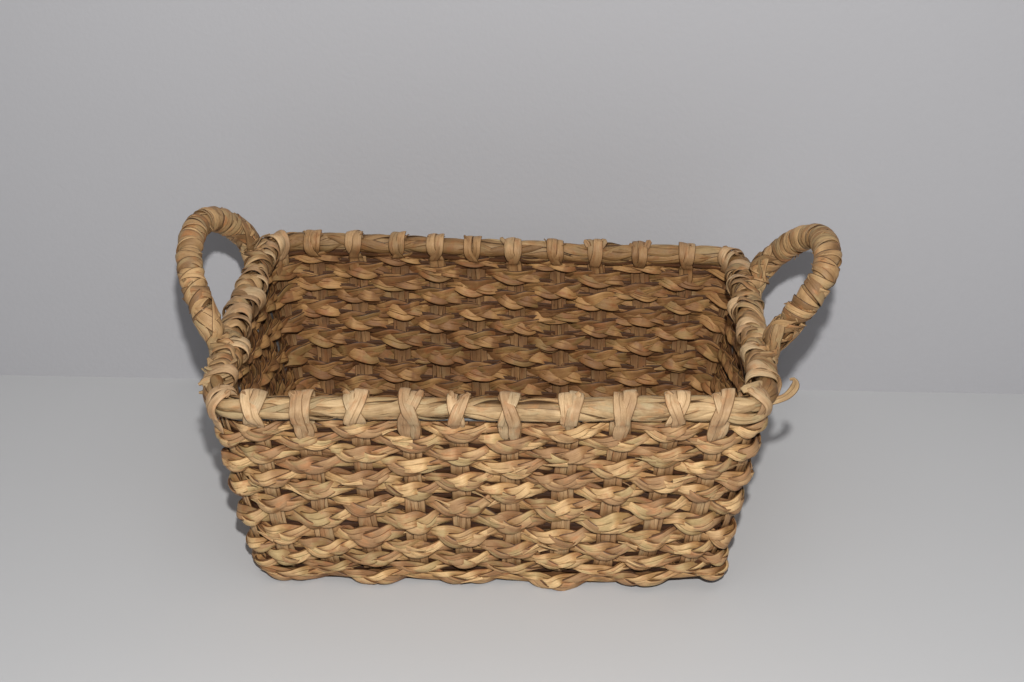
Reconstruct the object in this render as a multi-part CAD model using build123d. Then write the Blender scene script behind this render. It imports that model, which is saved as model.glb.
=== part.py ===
from build123d import *
import math
import os

# Rectangular bread basket of plaited leaf rope, millimetres, +Z up.
# It rests on Z = 0. X runs along the length, the front is -Y, the right is +X.
# The origin is the centre of the whole outline seen from above. The right handle reaches further
# out than the left, so the basket itself sits ORIGIN_X to the left of the origin.
# Everything is worked out about the basket's own middle and shifted when its faces are made.
# Parts: 10 crosswise and 6 lengthwise U-shaped stakes and 4 corner stakes (each a pair of leaf
# strips), 13 weaver rows round the walls, 10 weavers across the base, a rim wire under a leaf
# rim roll, and two wire-cored loop handles with bindings on the short sides.

ORIGIN_X = 7.564

# ---- walls and rim ----
RIM_LENGTH, RIM_WIDTH = 380.0, 248.0   # rim centre line
RIM_R, BASE_R = 26.0, 14.0             # plan corner radius at the rim and at the base
TAPER = 23.0                           # how far the walls lean in from rim to base, each side
TAPER_POWER = 1.35                     # above 1 the wall bellies outwards
ROLL_Z, ROLL_R = 158.0, 6.5            # leaf roll of the rim
WIRE_Z, WIRE_R = 149.3, 1.9            # rim wire, under the roll
RIM_CORNER_STEPS = 8
CLEAR = 0.25                           # clearance between pieces

# ---- plaits and leaf strips ----
BRAID_HALF_H, BRAID_HALF_T, BRAID_CHAMFER = 5.0, 3.25, 1.9
STRIP_T = 3.2
# strip width, strip centre from the stake line, and the same where a handle leg runs between
FULL_STRIP = (5.4, 2.95, 5.0)
NARROW_STRIP = (4.6, 2.5, 4.6)         # the stakes next to the corners
CORNER_STRIP = (3.2, 1.75, 1.75)       # the corner stakes
STRIP_GAP = 0.3                        # least gap between the two strips of a stake
STRIP_LEAN = 0.22                      # narrowing where the two strips turn from each other
BEND_R = 10.0                          # stakes turning from wall to base
BEND_STEPS = 4
FOLD_R = 8.9                           # strip centre line over the rim roll
# the strip inside the roll and its tails outside, as (outward from the wall, z)
FOLD_START = [(0.0, 142.2), (-FOLD_R + 0.3, 152.6)]
FOLD_END = (8.3, 151.0)
LONG_TAIL = [(3.75, 142.4), (3.75, 132.2)]
SHORT_TAIL = [(5.4, 143.9)]

# weaver centre line to stake centre line where they cross
WEAVE = STRIP_T / 2 + BRAID_HALF_T + CLEAR
BASE_Z = WEAVE + BRAID_HALF_T
WALL_FOOT = BASE_Z + BEND_R

# ---- stake places ----
# at the rim, anticlockwise from above: front and back by x, right and left by y
RIM_PLACES = {
    "front": [-158.0, -125.4, -88.7, -50.8, -18.4, 16.6, 57.5, 93.6, 128.9, 159.4],
    "right": [-86.0, -54.0, -17.0, 19.0, 62.0, 87.0],
    "back": [-152.8, -119.6, -84.6, -54.6, -24.7, 7.6, 41.8, 73.3, 109.1, 146.4],
    "left": [-86.0, -50.0, -17.0, 17.0, 50.0, 90.0],
}
SIDES = tuple(RIM_PLACES)
# crosswise stakes in the base by x
BASE_X = [-143.8, -113.0, -82.0, -50.0, -17.0, 17.0, 50.0, 82.0, 113.0, 143.8]
# the 16 rows of the base by y, every third one a lengthwise stake
BASE_Y = [
    -79.4, -68.9, -58.6, -47.8, -37.0, -26.7, -15.9, -5.15,
    5.15, 15.9, 26.7, 37.0, 47.8, 58.6, 68.9, 79.4,
]
BASE_STAKE_ROWS = range(0, 16, 3)
BASE_FLAT, BASE_FLAT_END = 7.6, 6.2    # half length of a base row's flats; the outermost ends
# (sign of x, sign of y) of the corners, anticlockwise from the front right
CORNER_SIGNS = ((1, -1), (1, 1), (-1, 1), (-1, -1))
CORNER_NAMES = ("front_right", "back_right", "back_left", "front_left")
# all stakes in order round the wall
ORDER = (
    [("front", j) for j in range(10)]
    + [("corner", 0)]
    + [("right", j) for j in range(6)]
    + [("corner", 1)]
    + [("back", j) for j in reversed(range(10))]
    + [("corner", 2)]
    + [("left", j) for j in reversed(range(6))]
    + [("corner", 3)]
)

# ---- weaver rows ----
N_ROWS = 13
ROW_PITCH = 10.34
ROW_TOP_Z = 136.0                      # centre of the top row
CROSSING = 6.0                         # least length for passing from outside to inside
STAKE_MARGIN = 2.4                     # a weaver's flat reaches this far past a stake
LAST_CORNER_NEED = 2.0                 # half flat of the last row, below the corner stakes
LAST_CORNER_SHARE = 0.4                # and its share of the usual swing there
CORNER_OUT, CORNER_IN = 1.3, 0.4       # extra swing round the corners
LEG_SWING = 0.55                       # extra swing at a stake with a handle leg
BEND_IN = 0.75                         # extra swing inside the turn at the wall's foot
LAST_ROW_TILT = math.radians(55.0)     # the last row rides on the turn from wall to base

# ---- handles ----
LEG_OUT = 9.4                          # leg outside the rim centre line at the rim
LEG_BOTTOM_Z = 62.0
LEG_ROOM_Z = LEG_BOTTOM_Z - 26         # above this the weavers make room for a leg
LEG_INNER_Z, LEG_OUTER_Z = 143.2, 152.6   # a leg passes outwards under the rim between these
ARCH_FOOT_Z = ROLL_Z + 6.0
ARCH_STEPS = 42
HANDLE_WIRE_R = 1.9
CORE_R = 5.6
CORE_BORE_R = HANDLE_WIRE_R + 0.35
CORE_FROM = 8.0                        # core and winding start this far along the arch
WRAP_INNER_R, WRAP_OUTER_R = 6.95, 9.5
WRAP_WIDTH, WRAP_PITCH = 12.2, 12.6
WRAP_TURN_STEPS = 14
WRAP_PATH_STEPS = 240
# feet are the stakes the legs run beside; the rest is the arch in its plane, which leans
# outwards from the vertical by lean
HANDLES = {
    "left": dict(feet=(1, 5), lean=math.radians(30.0), middle=23.0, half_width=72.0,
                 height=66.3, fullness=2.0, skew=0.0),
    "right": dict(feet=(1, 4), lean=math.radians(36.0), middle=8.5, half_width=60.0,
                  height=82.0, fullness=2.6, skew=0.0033),
}
SIGN = {"left": -1, "right": 1}
LEG_STAKES = {(side, j) for side, handle in HANDLES.items() for j in handle["feet"]}

# ---- binding turns round the rim of the short sides, by y ----
TURN_WIDTH, TURN_T = 5.8, 1.5
TURN_BOTTOM = [(-5.2, 147.2), (-2.4, 145.1), (2.4, 145.1), (5.2, 147.2)]   # (outward, z)
LASHING_Y = {
    "left": {"front": (-75.4, -69.2, -63.0, -37.0, -30.8), "back": (78.6, 72.4, 66.2, 40.4, 34.2)},
    "right": {"front": (-75.4, -69.2, -41.0, -34.8, -28.6), "back": (75.0, 49.4, 43.2, 37.0, 30.8)},
}
MIDDLE_BINDING_Y = (-6.2, 0.0, 6.2)

ALONG_X, ALONG_Y, UP = Vector(1, 0, 0), Vector(0, 1, 0), Vector(0, 0, 1)


# ---- solids swept through rings of points ----
def unit(vector):
    return vector.normalized()


def clamp(value):
    return min(max(value, 0.0), 1.0)


def patch(points):
    """Faces covering a polygon: one when it is flat, triangles when it is a twisted quad."""
    clean = [p for i, p in enumerate(points) if (p - points[i - 1]).length > 1e-6]
    if len(clean) < 3:
        return []
    if len(clean) == 4:
        normal = (clean[2] - clean[0]).cross(clean[3] - clean[1])
        if normal.length < 1e-9:
            return []
        normal = unit(normal)
        if any(abs(normal.dot(clean[i] - clean[0])) > 1e-9 for i in (1, 3)):
            return patch(clean[:3]) + patch([clean[0], clean[2], clean[3]])
    if len(clean) == 3 and (clean[1] - clean[0]).cross(clean[2] - clean[0]).length < 1e-7:
        return []
    shift = Vector(ORIGIN_X, 0, 0)
    return [Face(Wire.make_polygon([p - shift for p in clean], close=True))]


def side_faces(rings):
    """Faces joining each ring to the next."""
    faces = []
    for a, b in zip(rings, rings[1:]):
        for k in range(len(a)):
            m = (k + 1) % len(a)
            faces += patch([a[k], a[m], b[m], b[k]])
    return faces


def swept(rings, closed):
    """Solid through a list of rings, each a list of points in the same order."""
    if closed:
        return Solid(Shell(side_faces(rings + rings[:1])))
    return Solid(Shell(side_faces(rings) + patch(rings[0]) + patch(rings[-1])))


def braid_section():
    """Octagonal plait section as (outward, upward) pairs."""
    h, t, c = BRAID_HALF_H, BRAID_HALF_T, BRAID_CHAMFER
    return [
        (t, h - c), (t - c, h), (c - t, h), (-t, h - c),
        (-t, c - h), (c - t, -h), (t - c, -h), (t, c - h),
    ]


def box_section(width, thickness):
    """Strip section as (thickness, width) pairs."""
    w, t = width / 2, thickness / 2
    return [(t, w), (-t, w), (-t, -w), (t, -w)]


def round_section(radius, count, phase=0.0):
    angles = [2 * math.pi * (k + phase) / count for k in range(count)]
    return [(radius * math.cos(a), radius * math.sin(a)) for a in angles]


def ring(centre, first_axis, second_axis, section):
    return [centre + first_axis * a + second_axis * b for a, b in section]


def mitred_rings(stations, section):
    """Rings along an open path of (point, sideways direction, width) stations.

    The section's second coordinate is scaled by the width, its first follows the path's bend.
    """
    points = [point for point, _, _ in stations]
    directions = [unit(b - a) for a, b in zip(points, points[1:])]
    rings = []
    for i, (point, side, width) in enumerate(stations):
        before = directions[max(i - 1, 0)]
        after = directions[min(i, len(directions) - 1)]
        along = unit(before + after)
        side = unit(side - along * side.dot(along))
        cosine = max(math.sqrt((1 + before.dot(after)) / 2), 0.6)
        rings.append(ring(point, along.cross(side) * (1 / cosine), side * width, section))
    return rings


def wall_loop(points, section, tilt=0.0):
    """Solid along a closed path round the walls, its outward axis tilted below the horizon."""
    flat = [Vector(p.X, p.Y, 0) for p in points]
    rings = []
    for i, point in enumerate(points):
        before = unit(flat[i] - flat[i - 1])
        after = unit(flat[(i + 1) % len(flat)] - flat[i])
        out = unit(before + after).cross(UP)
        out_mitred = out * (1 / max(out.dot(before.cross(UP)), 0.5))
        outward = out_mitred * math.cos(tilt) - UP * math.sin(tilt)
        upward = out_mitred * math.sin(tilt) + UP * math.cos(tilt)
        rings.append(ring(point, outward, upward, section))
    return swept(rings, True)


# ---- wall shape ----
def rise(z):
    """Share of the way from the wall's foot to the rim roll."""
    return clamp((z - WALL_FOOT) / (ROLL_Z - WALL_FOOT))


def wall_inset(z):
    return TAPER * (1 - rise(z)) ** TAPER_POWER


def plan_sizes(inset):
    """Corner radius, corner arc length, and straight lengths along X and Y of the plan curve."""
    radius = RIM_R + (BASE_R - RIM_R) * inset / TAPER
    long = RIM_LENGTH - 2 * (inset + radius)
    short = RIM_WIDTH - 2 * (inset + radius)
    return radius, math.pi * radius / 2, long, short


def plan_length(inset):
    _, arc, long, short = plan_sizes(inset)
    return 2 * (long + short) + 4 * arc


def plan_point(inset, distance):
    """Point and outward normal of the plan curve at a distance from the front's middle.

    Distances run anticlockwise from above.
    """
    radius, arc, long, short = plan_sizes(inset)
    distance = (distance - long / 2) % plan_length(inset)
    # each quarter is a corner and the straight after it; the last straight ends the curve
    for quarter, straight in enumerate((short, long, short, math.inf)):
        if distance < arc + straight:
            break
        distance -= arc + straight
    sign_x, sign_y = CORNER_SIGNS[quarter]
    angle = (quarter - 1) * math.pi / 2 + min(distance, arc) / radius
    normal = Vector(math.cos(angle), math.sin(angle), 0)
    centre = Vector(sign_x * long / 2, sign_y * short / 2, 0)
    along = UP.cross(normal) * max(distance - arc, 0.0)
    return centre + normal * radius + along, normal


# ---- stake places on the wall ----
def stake_place(side, j, z):
    """x or y of a stake at height z: it drifts from its base place to its rim place."""
    base = BASE_X[j] if side in ("front", "back") else BASE_Y[BASE_STAKE_ROWS[j]]
    return base + (RIM_PLACES[side][j] - base) * rise(z)


def stake_distance(side, j, z, inset):
    """Distance along the plan curve at which a stake stands."""
    radius, arc, long, short = plan_sizes(inset)
    quarter = (long + short) / 2 + arc
    if side == "corner":
        first = (long + arc) / 2
        return (first, 2 * quarter - first, 2 * quarter + first, 4 * quarter - first)[j]
    place = stake_place(side, j, z)
    half = (long if side in ("front", "back") else short) / 2
    if abs(place) > half:
        # past the straight it stands on the corner arc
        turn = math.asin(min(abs(place) - half, radius * 0.95) / radius)
        place = math.copysign(half + radius * turn, place)
    return quarter * SIDES.index(side) + (place if side in ("front", "right") else -place)


def strip_size(side, j):
    """Strip width, its offset from the stake line, and that offset beside a handle leg."""
    if side == "corner":
        return CORNER_STRIP
    return NARROW_STRIP if j in (0, len(RIM_PLACES[side]) - 1) else FULL_STRIP


def has_leg(side, j, z):
    return (side, j) in LEG_STAKES and z > LEG_ROOM_Z


def half_spread(side, j, z):
    """Half the full width a stake takes up along the wall."""
    width, offset, leg_offset = strip_size(side, j)
    return (leg_offset if has_leg(side, j, z) else offset) + width / 2


# ---- weaver rows ----
def row_place(row):
    """(z, inset, tilt of the outward direction below the horizon), rows counted from the top."""
    if row < N_ROWS - 1:
        z = ROW_TOP_Z - ROW_PITCH * row
        return z, wall_inset(z), math.atan((wall_inset(z - 4) - wall_inset(z + 4)) / 8)
    z = WALL_FOOT - BEND_R * math.sin(LAST_ROW_TILT)
    return z, TAPER + BEND_R * (1 - math.cos(LAST_ROW_TILT)), LAST_ROW_TILT


def weaver_row(row):
    """Plait round the wall, passing outside and inside the stakes in turn."""
    z, inset, tilt = row_place(row)
    last = row == N_ROWS - 1
    total = plan_length(inset)
    places = [stake_distance(side, j, z, inset) for side, j in ORDER]
    need = [
        LAST_CORNER_NEED if last and side == "corner" else half_spread(side, j, z) + STAKE_MARGIN
        for side, j in ORDER
    ]
    # what each flat gives up so that the crossing to the next stake is long enough
    cuts = []
    for i, place in enumerate(places):
        following = (i + 1) % len(places)
        gap = (places[following] - place) % total
        cuts.append(max(need[i] + need[following] + CROSSING - gap, 0.0) / 2)

    points = []
    for i, (side, j) in enumerate(ORDER):
        outside = (i + row) % 2 == 0
        low, high = cuts[i - 1] - need[i], need[i] - cuts[i]
        normals = [plan_point(inset, places[i] + shift)[1] for shift in (low, 0.0, high)]
        cornered = any(min(abs(n.X), abs(n.Y)) > 0.02 for n in normals)
        swing = WEAVE
        if cornered:
            swing += CORNER_OUT if outside else CORNER_IN
        if last and side == "corner":
            swing *= LAST_CORNER_SHARE
        elif last and not outside:
            swing += BEND_IN
        if has_leg(side, j, z):
            swing += LEG_SWING
        steps = 6 if cornered else 1
        for step in range(steps + 1):
            point, normal = plan_point(inset, places[i] + low + (high - low) * step / steps)
            outward = normal * math.cos(tilt) - UP * math.sin(tilt)
            points.append(point + UP * z + outward * (swing if outside else -swing))
    return wall_loop(points, braid_section(), tilt)


# ---- stakes ----
def over_roll(degrees):
    """(outward, z) on the fold round the rim roll, 0 degrees outside and 90 on top."""
    angle = math.radians(degrees)
    return FOLD_R * math.cos(angle), ROLL_Z + FOLD_R * math.sin(angle)


def fold_points(side, j):
    """(outward, z) of a strip from inside the wall, over the roll and down outside."""
    # a tail is long where the top weaver row passes behind the stake
    tail = LONG_TAIL if ORDER.index((side, j)) % 2 == 1 else SHORT_TAIL
    return FOLD_START + [over_roll(deg) for deg in range(180, -1, -30)] + [FOLD_END] + tail


def wall_strip(side, j, lane, foot=WALL_FOOT):
    """Stations of one strip from its foot up the wall and over the rim. lane is -1 or 1."""
    levels = [(0.0, foot)]
    z = foot + 8
    while z < 139:
        levels.append((0.0, z))
        z += 11.5

    width, straight_offset, leg_offset = strip_size(side, j)
    stations = []
    for outward, height in levels + fold_points(side, j):
        z = min(height, ROLL_Z)
        inset = wall_inset(z)
        place = stake_distance(side, j, z, inset)
        offset = straight_offset
        if (side, j) in LEG_STAKES:
            offset += (leg_offset - offset) * clamp((z - LEG_BOTTOM_Z + 22) / 14)
        point, normal = plan_point(inset, place + lane * offset)
        twin_point, twin_normal = plan_point(inset, place - lane * offset)
        point += normal * outward
        twin_point += twin_normal * outward
        lean = 1.0 - STRIP_LEAN * (normal - twin_normal).length
        room = (point - twin_point).length * lean - STRIP_GAP
        stations.append((point + UP * height, UP.cross(normal), min(width, room)))
    return stations


def flipped(stations):
    return [(point, -side, width) for point, side, width in stations]


def bend_points(foot, flat):
    """Quarter turn from the wall's foot point to the point flat on the base plane."""
    reach = Vector(foot.X - flat.X, foot.Y - flat.Y, 0)
    angles = [math.pi / 2 * i / BEND_STEPS for i in range(1, BEND_STEPS + 1)]
    return [flat + reach * math.cos(a) + UP * (BEND_R * (1 - math.sin(a))) for a in angles]


def u_strip(start, floor, end, across, width):
    """One strip down a wall, along the floor points and up the opposite wall."""
    stations = start[::-1] + [(point, across, width) for point in floor] + end
    return swept(mitred_rings(stations, box_section(1.0, STRIP_T)), False)


def cross_stake(j):
    """Crosswise U stake: front rim, down, across the base, up the back wall to the rim."""
    width, offset, _ = strip_size("front", j)
    solids = []
    for lane in (-1, 1):
        front = wall_strip("front", j, lane)
        back = flipped(wall_strip("back", j, -lane))
        x = BASE_X[j] + lane * offset
        front_foot, back_foot = front[0][0], back[0][0]
        front_bend = bend_points(front_foot, Vector(x, front_foot.Y + BEND_R, BASE_Z))
        back_bend = bend_points(back_foot, Vector(x, back_foot.Y - BEND_R, BASE_Z))
        solids.append(u_strip(front, front_bend + back_bend[::-1], back, ALONG_X, width))
    return solids


def base_wave(row, y, swing):
    """Points along X of a base row weaving over and under the crosswise stakes."""
    points = []
    for j, x in enumerate(BASE_X):
        z = BASE_Z + (swing if (row + j) % 2 == 0 else -swing)
        before = BASE_FLAT_END if j == 0 else BASE_FLAT
        after = BASE_FLAT_END if j == len(BASE_X) - 1 else BASE_FLAT
        points += [Vector(x - before, y, z), Vector(x + after, y, z)]
    return points


def end_stake(j):
    """Lengthwise U stake: left rim, down, woven through the base, up the right wall to the rim."""
    row = BASE_STAKE_ROWS[j]
    width, offset, _ = strip_size("left", j)
    solids = []
    for lane in (-1, 1):
        left = flipped(wall_strip("left", j, -lane))
        right = wall_strip("right", j, lane)
        y = BASE_Y[row] + lane * offset
        wave = base_wave(row, y, STRIP_T + CLEAR)

        def turn(foot, inward, wave_end):
            """Bend at a wall's foot and the point that leads into the wave."""
            flat = Vector(foot.X + inward * BEND_R, y, BASE_Z)
            lead_z = BASE_Z + 0.45 * (wave_end.Z - BASE_Z)
            return bend_points(foot, flat)[:-1] + [Vector(flat.X + inward * 0.6, y, lead_z)]

        left_turn = turn(left[0][0], 1, wave[0])
        right_turn = turn(right[0][0], -1, wave[-1])
        solids.append(u_strip(left, left_turn + wave + right_turn[::-1], right, ALONG_Y, width))
    return solids


def corner_stake(k):
    section = box_section(1.0, STRIP_T)
    strips = [wall_strip("corner", k, lane, foot=WALL_FOOT + 2) for lane in (-1, 1)]
    return [swept(mitred_rings(stations, section), False) for stations in strips]


def base_weaver(row):
    stations = [(point, ALONG_Y, 1.0) for point in base_wave(row, BASE_Y[row], WEAVE)]
    return swept(mitred_rings(stations, braid_section()), False)


# ---- rim ----
def rim_loop(z, radius, side_count):
    points = []
    for quarter, (sign_x, sign_y) in enumerate(CORNER_SIGNS):
        centre = Vector(sign_x * (RIM_LENGTH / 2 - RIM_R), sign_y * (RIM_WIDTH / 2 - RIM_R), z)
        for i in range(RIM_CORNER_STEPS + 1):
            angle = math.pi / 2 * (quarter - 1 + i / RIM_CORNER_STEPS)
            points.append(centre + Vector(math.cos(angle), math.sin(angle), 0) * RIM_R)
    return wall_loop(points, round_section(radius, side_count, phase=0.5))


def binding_turn(sign, y):
    """One closed turn of leaf round the rim roll and wire on the right (1) or left (-1) side."""
    outline = [over_roll(degrees) for degrees in range(-30, 211, 20)] + TURN_BOTTOM
    loop = [Vector(outward, 0, z) for outward, z in outline]
    rings = []
    for i, point in enumerate(loop):
        before = unit(point - loop[i - 1])
        after = unit(loop[(i + 1) % len(loop)] - point)
        cosine = max(math.sqrt((1 + before.dot(after)) / 2), 0.6)
        out = ALONG_Y.cross(unit(before + after)) * (1 / cosine)
        corners = ring(point, out, ALONG_Y, box_section(TURN_WIDTH, TURN_T))
        rings.append([Vector(sign * (RIM_LENGTH / 2 + c.X), y + c.Y, c.Z) for c in corners])
    return swept(rings, True)


# ---- handles ----
def measured(points):
    """Distances of a polyline's points from its start, and a function giving a point on it."""
    lengths = [0.0]
    for a, b in zip(points, points[1:]):
        lengths.append(lengths[-1] + (b - a).length)

    def at(distance):
        for i in range(1, len(points)):
            if distance <= lengths[i] + 1e-9:
                share = (distance - lengths[i - 1]) / max(lengths[i] - lengths[i - 1], 1e-9)
                return points[i - 1] + (points[i] - points[i - 1]) * share
        return points[-1]

    return lengths, at


def resampled(points, count):
    lengths, at = measured(points)
    return [at(lengths[-1] * i / count) for i in range(count + 1)]


def handle_arch(name):
    """Centre line of the handle above the rim, from the front foot to the back foot."""
    handle = HANDLES[name]
    lean, height, fullness = handle["lean"], handle["height"], handle["fullness"]
    rim_x = RIM_LENGTH / 2
    front, back = [
        Vector(SIGN[name] * (rim_x + LEG_OUT), RIM_PLACES[name][j], ARCH_FOOT_Z)
        for j in handle["feet"]
    ]
    low = LEG_OUT / math.sin(lean)       # where the leaning plane meets the legs
    first = math.asin((low / height) ** (fullness / 2))
    steps = 90
    points = [front]
    for i in range(steps + 1):
        angle = first + (math.pi - 2 * first) * i / steps
        cosine = math.cos(angle)
        up = height * math.sin(angle) ** (2 / fullness)
        across = math.copysign(handle["half_width"] * abs(cosine) ** (2 / fullness), cosine)
        y = handle["middle"] - handle["skew"] * up * up - across
        x = SIGN[name] * (rim_x + up * math.sin(lean))
        points.append(Vector(x, y, ROLL_Z + up * math.cos(lean)))
    points.append(back)

    points = resampled(points, ARCH_STEPS)
    for _ in range(6):                   # soften the corners, keep the ends
        triples = zip(points, points[1:], points[2:])
        softened = [(a + c) * 0.25 + b * 0.5 for a, b, c in triples]
        points = [points[0]] + softened + [points[-1]]
    return points


def leg_points(name, j):
    """Handle leg: from its tip up the wall, out under the rim, to outside the roll."""
    points = []
    z = LEG_BOTTOM_Z
    while z < 140:
        inset = wall_inset(z)
        points.append(plan_point(inset, stake_distance(name, j, z, inset))[0] + UP * z)
        z += 13.0
    for z, outward in ((LEG_INNER_Z, -wall_inset(LEG_INNER_Z)), (LEG_OUTER_Z, LEG_OUT)):
        x = SIGN[name] * (RIM_LENGTH / 2 + outward)
        points.append(Vector(x, stake_place(name, j, z), z))
    return points


def carried_frames(points):
    """(tangent, sideways direction) along an open polyline, the sideways one carried along."""
    side = ALONG_X
    frames = []
    for i in range(len(points)):
        tangent = unit(points[min(i + 1, len(points) - 1)] - points[max(i - 1, 0)])
        side = unit(side - tangent * side.dot(tangent))
        frames.append((tangent, side))
    return frames


def round_rings(points, radius, count):
    section = round_section(radius, count)
    return [
        ring(point, side, tangent.cross(side), section)
        for point, (tangent, side) in zip(points, carried_frames(points))
    ]


def handle_wire(name):
    front, back = HANDLES[name]["feet"]
    points = leg_points(name, front) + handle_arch(name) + leg_points(name, back)[::-1]
    return swept(round_rings(points, HANDLE_WIRE_R, 8), False)


def handle_core(name):
    """Leaf bundle round the handle wire: a tube whose bore clears the wire."""
    lengths, at = measured(handle_arch(name))
    first, last = CORE_FROM, lengths[-1] - CORE_FROM
    stations = [first] + [s for s in lengths if first + 2 < s < last - 2] + [last]
    points = [at(s) for s in stations]
    outer = round_rings(points, CORE_R, 12)
    inner = round_rings(points, CORE_BORE_R, 12)
    faces = side_faces(outer) + side_faces(inner[::-1])
    for end in (0, -1):
        faces += side_faces([outer[end], inner[end]])
    return Solid(Shell(faces))


def handle_wrap(name):
    """Leaf strip wound round the core from foot to foot."""
    arch = handle_arch(name)
    total = measured(arch)[0][-1]
    first = CORE_FROM + WRAP_WIDTH / 2
    last = total - first
    path = resampled(arch, WRAP_PATH_STEPS)
    frames = carried_frames(path)

    def frame(distance):
        """Point on the arch and the two directions square to it."""
        position = min(max(distance / total, 0.0), 1.0) * WRAP_PATH_STEPS
        i = min(int(position), WRAP_PATH_STEPS - 1)
        share = position - i
        (tangent, side), (next_tangent, next_side) = frames[i], frames[i + 1]
        point = path[i] + (path[i + 1] - path[i]) * share
        tangent = unit(tangent + (next_tangent - tangent) * share)
        side = unit(side + (next_side - side) * share)
        return point, side, tangent.cross(side)

    # strip corners as (along the handle, radius)
    half = WRAP_WIDTH / 2
    corners = (
        (-half, WRAP_INNER_R), (half, WRAP_INNER_R), (half, WRAP_OUTER_R), (-half, WRAP_OUTER_R),
    )
    steps = int((last - first) / WRAP_PITCH * WRAP_TURN_STEPS)
    rings = []
    for i in range(steps + 1):
        middle = first + (last - first) * i / steps
        angle = 2 * math.pi * i / WRAP_TURN_STEPS
        points = []
        for along, radius in corners:
            point, side, other = frame(middle + along)
            points.append(point + (side * math.cos(angle) + other * math.sin(angle)) * radius)
        rings.append(points)
    return swept(rings, False)


def write(name, solids):
    shape = solids[0] if len(solids) == 1 else Compound(children=solids)
    shape.label = name
    export_step(shape, "parts/" + name + ".step", write_pcurves=False)


def main():
    os.makedirs("parts", exist_ok=True)
    write("rim_roll", [rim_loop(ROLL_Z, ROLL_R, 12)])
    write("rim_wire", [rim_loop(WIRE_Z, WIRE_R, 8)])
    for row in range(N_ROWS):
        write(f"weaver_row_{row + 1:02d}", [weaver_row(row)])
    for j in range(len(BASE_X)):
        write(f"cross_stake_{j + 1:02d}", cross_stake(j))
    for j in range(len(BASE_STAKE_ROWS)):
        write(f"end_stake_{j + 1:02d}", end_stake(j))
    for k, place in enumerate(CORNER_NAMES):
        write("corner_stake_" + place, corner_stake(k))
    weaver_rows = [row for row in range(len(BASE_Y)) if row not in BASE_STAKE_ROWS]
    for i, row in enumerate(weaver_rows):
        write(f"base_weaver_{i + 1:02d}", [base_weaver(row)])
    for name, sign in SIGN.items():
        write(f"handle_{name}_wire", [handle_wire(name)])
        write(f"handle_{name}_core", [handle_core(name)])
        write(f"handle_{name}_wrap", [handle_wrap(name)])
        for where, places in LASHING_Y[name].items():
            write(f"handle_lashing_{name}_{where}", [binding_turn(sign, y) for y in places])
        write("rim_binding_" + name, [binding_turn(sign, y) for y in MIDDLE_BINDING_Y])


if __name__ == "__main__":
    main()
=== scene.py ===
"""A rectangular basket plaited from leaf strips, with a rolled rim and two looped handles.

x runs along the basket to the right, y from front to back and z up. Shapes are worked out in
millimetres with the basket centred on x = 0; Piece.finish puts them in the row frame, in metres.
A place on a wall's plan curve is its arc length, anticlockwise from the front's centre.
"""
import math
import bpy
import numpy as np
from mathutils import Matrix, Vector


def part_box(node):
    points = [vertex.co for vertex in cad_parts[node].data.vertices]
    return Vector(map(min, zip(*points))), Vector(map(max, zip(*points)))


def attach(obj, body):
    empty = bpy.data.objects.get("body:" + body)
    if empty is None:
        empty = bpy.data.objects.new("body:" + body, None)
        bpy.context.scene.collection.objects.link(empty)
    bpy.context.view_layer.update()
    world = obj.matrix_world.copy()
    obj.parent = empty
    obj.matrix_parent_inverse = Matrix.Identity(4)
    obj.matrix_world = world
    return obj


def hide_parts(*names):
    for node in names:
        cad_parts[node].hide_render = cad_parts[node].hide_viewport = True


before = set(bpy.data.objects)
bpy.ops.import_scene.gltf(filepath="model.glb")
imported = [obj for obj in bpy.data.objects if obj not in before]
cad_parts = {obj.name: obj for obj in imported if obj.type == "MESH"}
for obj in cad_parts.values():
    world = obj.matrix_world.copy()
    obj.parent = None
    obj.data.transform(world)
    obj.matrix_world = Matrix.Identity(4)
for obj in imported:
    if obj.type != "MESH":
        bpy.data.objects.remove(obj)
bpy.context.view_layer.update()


# ------------------------------------------------------------------ dimensions, millimetres
# The rim roll's own box gives the place of the basket in the row frame.
roll_low, roll_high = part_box("rim_roll")
ORIGIN_X = -500.0 * (roll_low[0] + roll_high[0])
ROLL_WIDTH = 13.0
RIM_L = 1000.0 * (roll_high[0] - roll_low[0]) - ROLL_WIDTH
RIM_W = 1000.0 * (roll_high[1] - roll_low[1]) - ROLL_WIDTH
ROLL_Z = 500.0 * (roll_low[2] + roll_high[2])
RIM_R, BASE_R = 26.0, 14.0              # corner radii in plan
TAPER, TAPER_POWER = 23.0, 1.35         # how far the walls draw in at the foot, and how fast
WIRE_Z, WIRE_R = 149.3, 1.9
BASE_Z, BEND_R = 8.375, 10.0
WALL_FOOT = BASE_Z + BEND_R

# heights of the wall's rows from the rim down; one more plait, the foot, runs round below them
ROW_Z = [136.4, 126.8, 116.3, 106.4, 95.2, 86.1, 74.4, 64.0, 52.3, 42.2, 31.5, 21.6]
FOOT = len(ROW_Z)
FOOT_Z, FOOT_INSET, FOOT_TILT = 11.6, TAPER - 4.4, math.radians(8)
ROW_SWING = 4.4                         # how far a row stands off the wall's middle at a stake
# the upper rows ride a little higher along the back wall
BACK_RISE = [6.3, 5.2, 5.5, 6.3, 6.3, 5.8, 5.5, 5.2, 5.0, 4.5, 3.0, 1.5, 0.0]
FOOT_BUMPS = ((-84.0, 1.8), (48.0, 3.4), (111.0, 2.0))      # lumps in the front foot: x, depth

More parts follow.
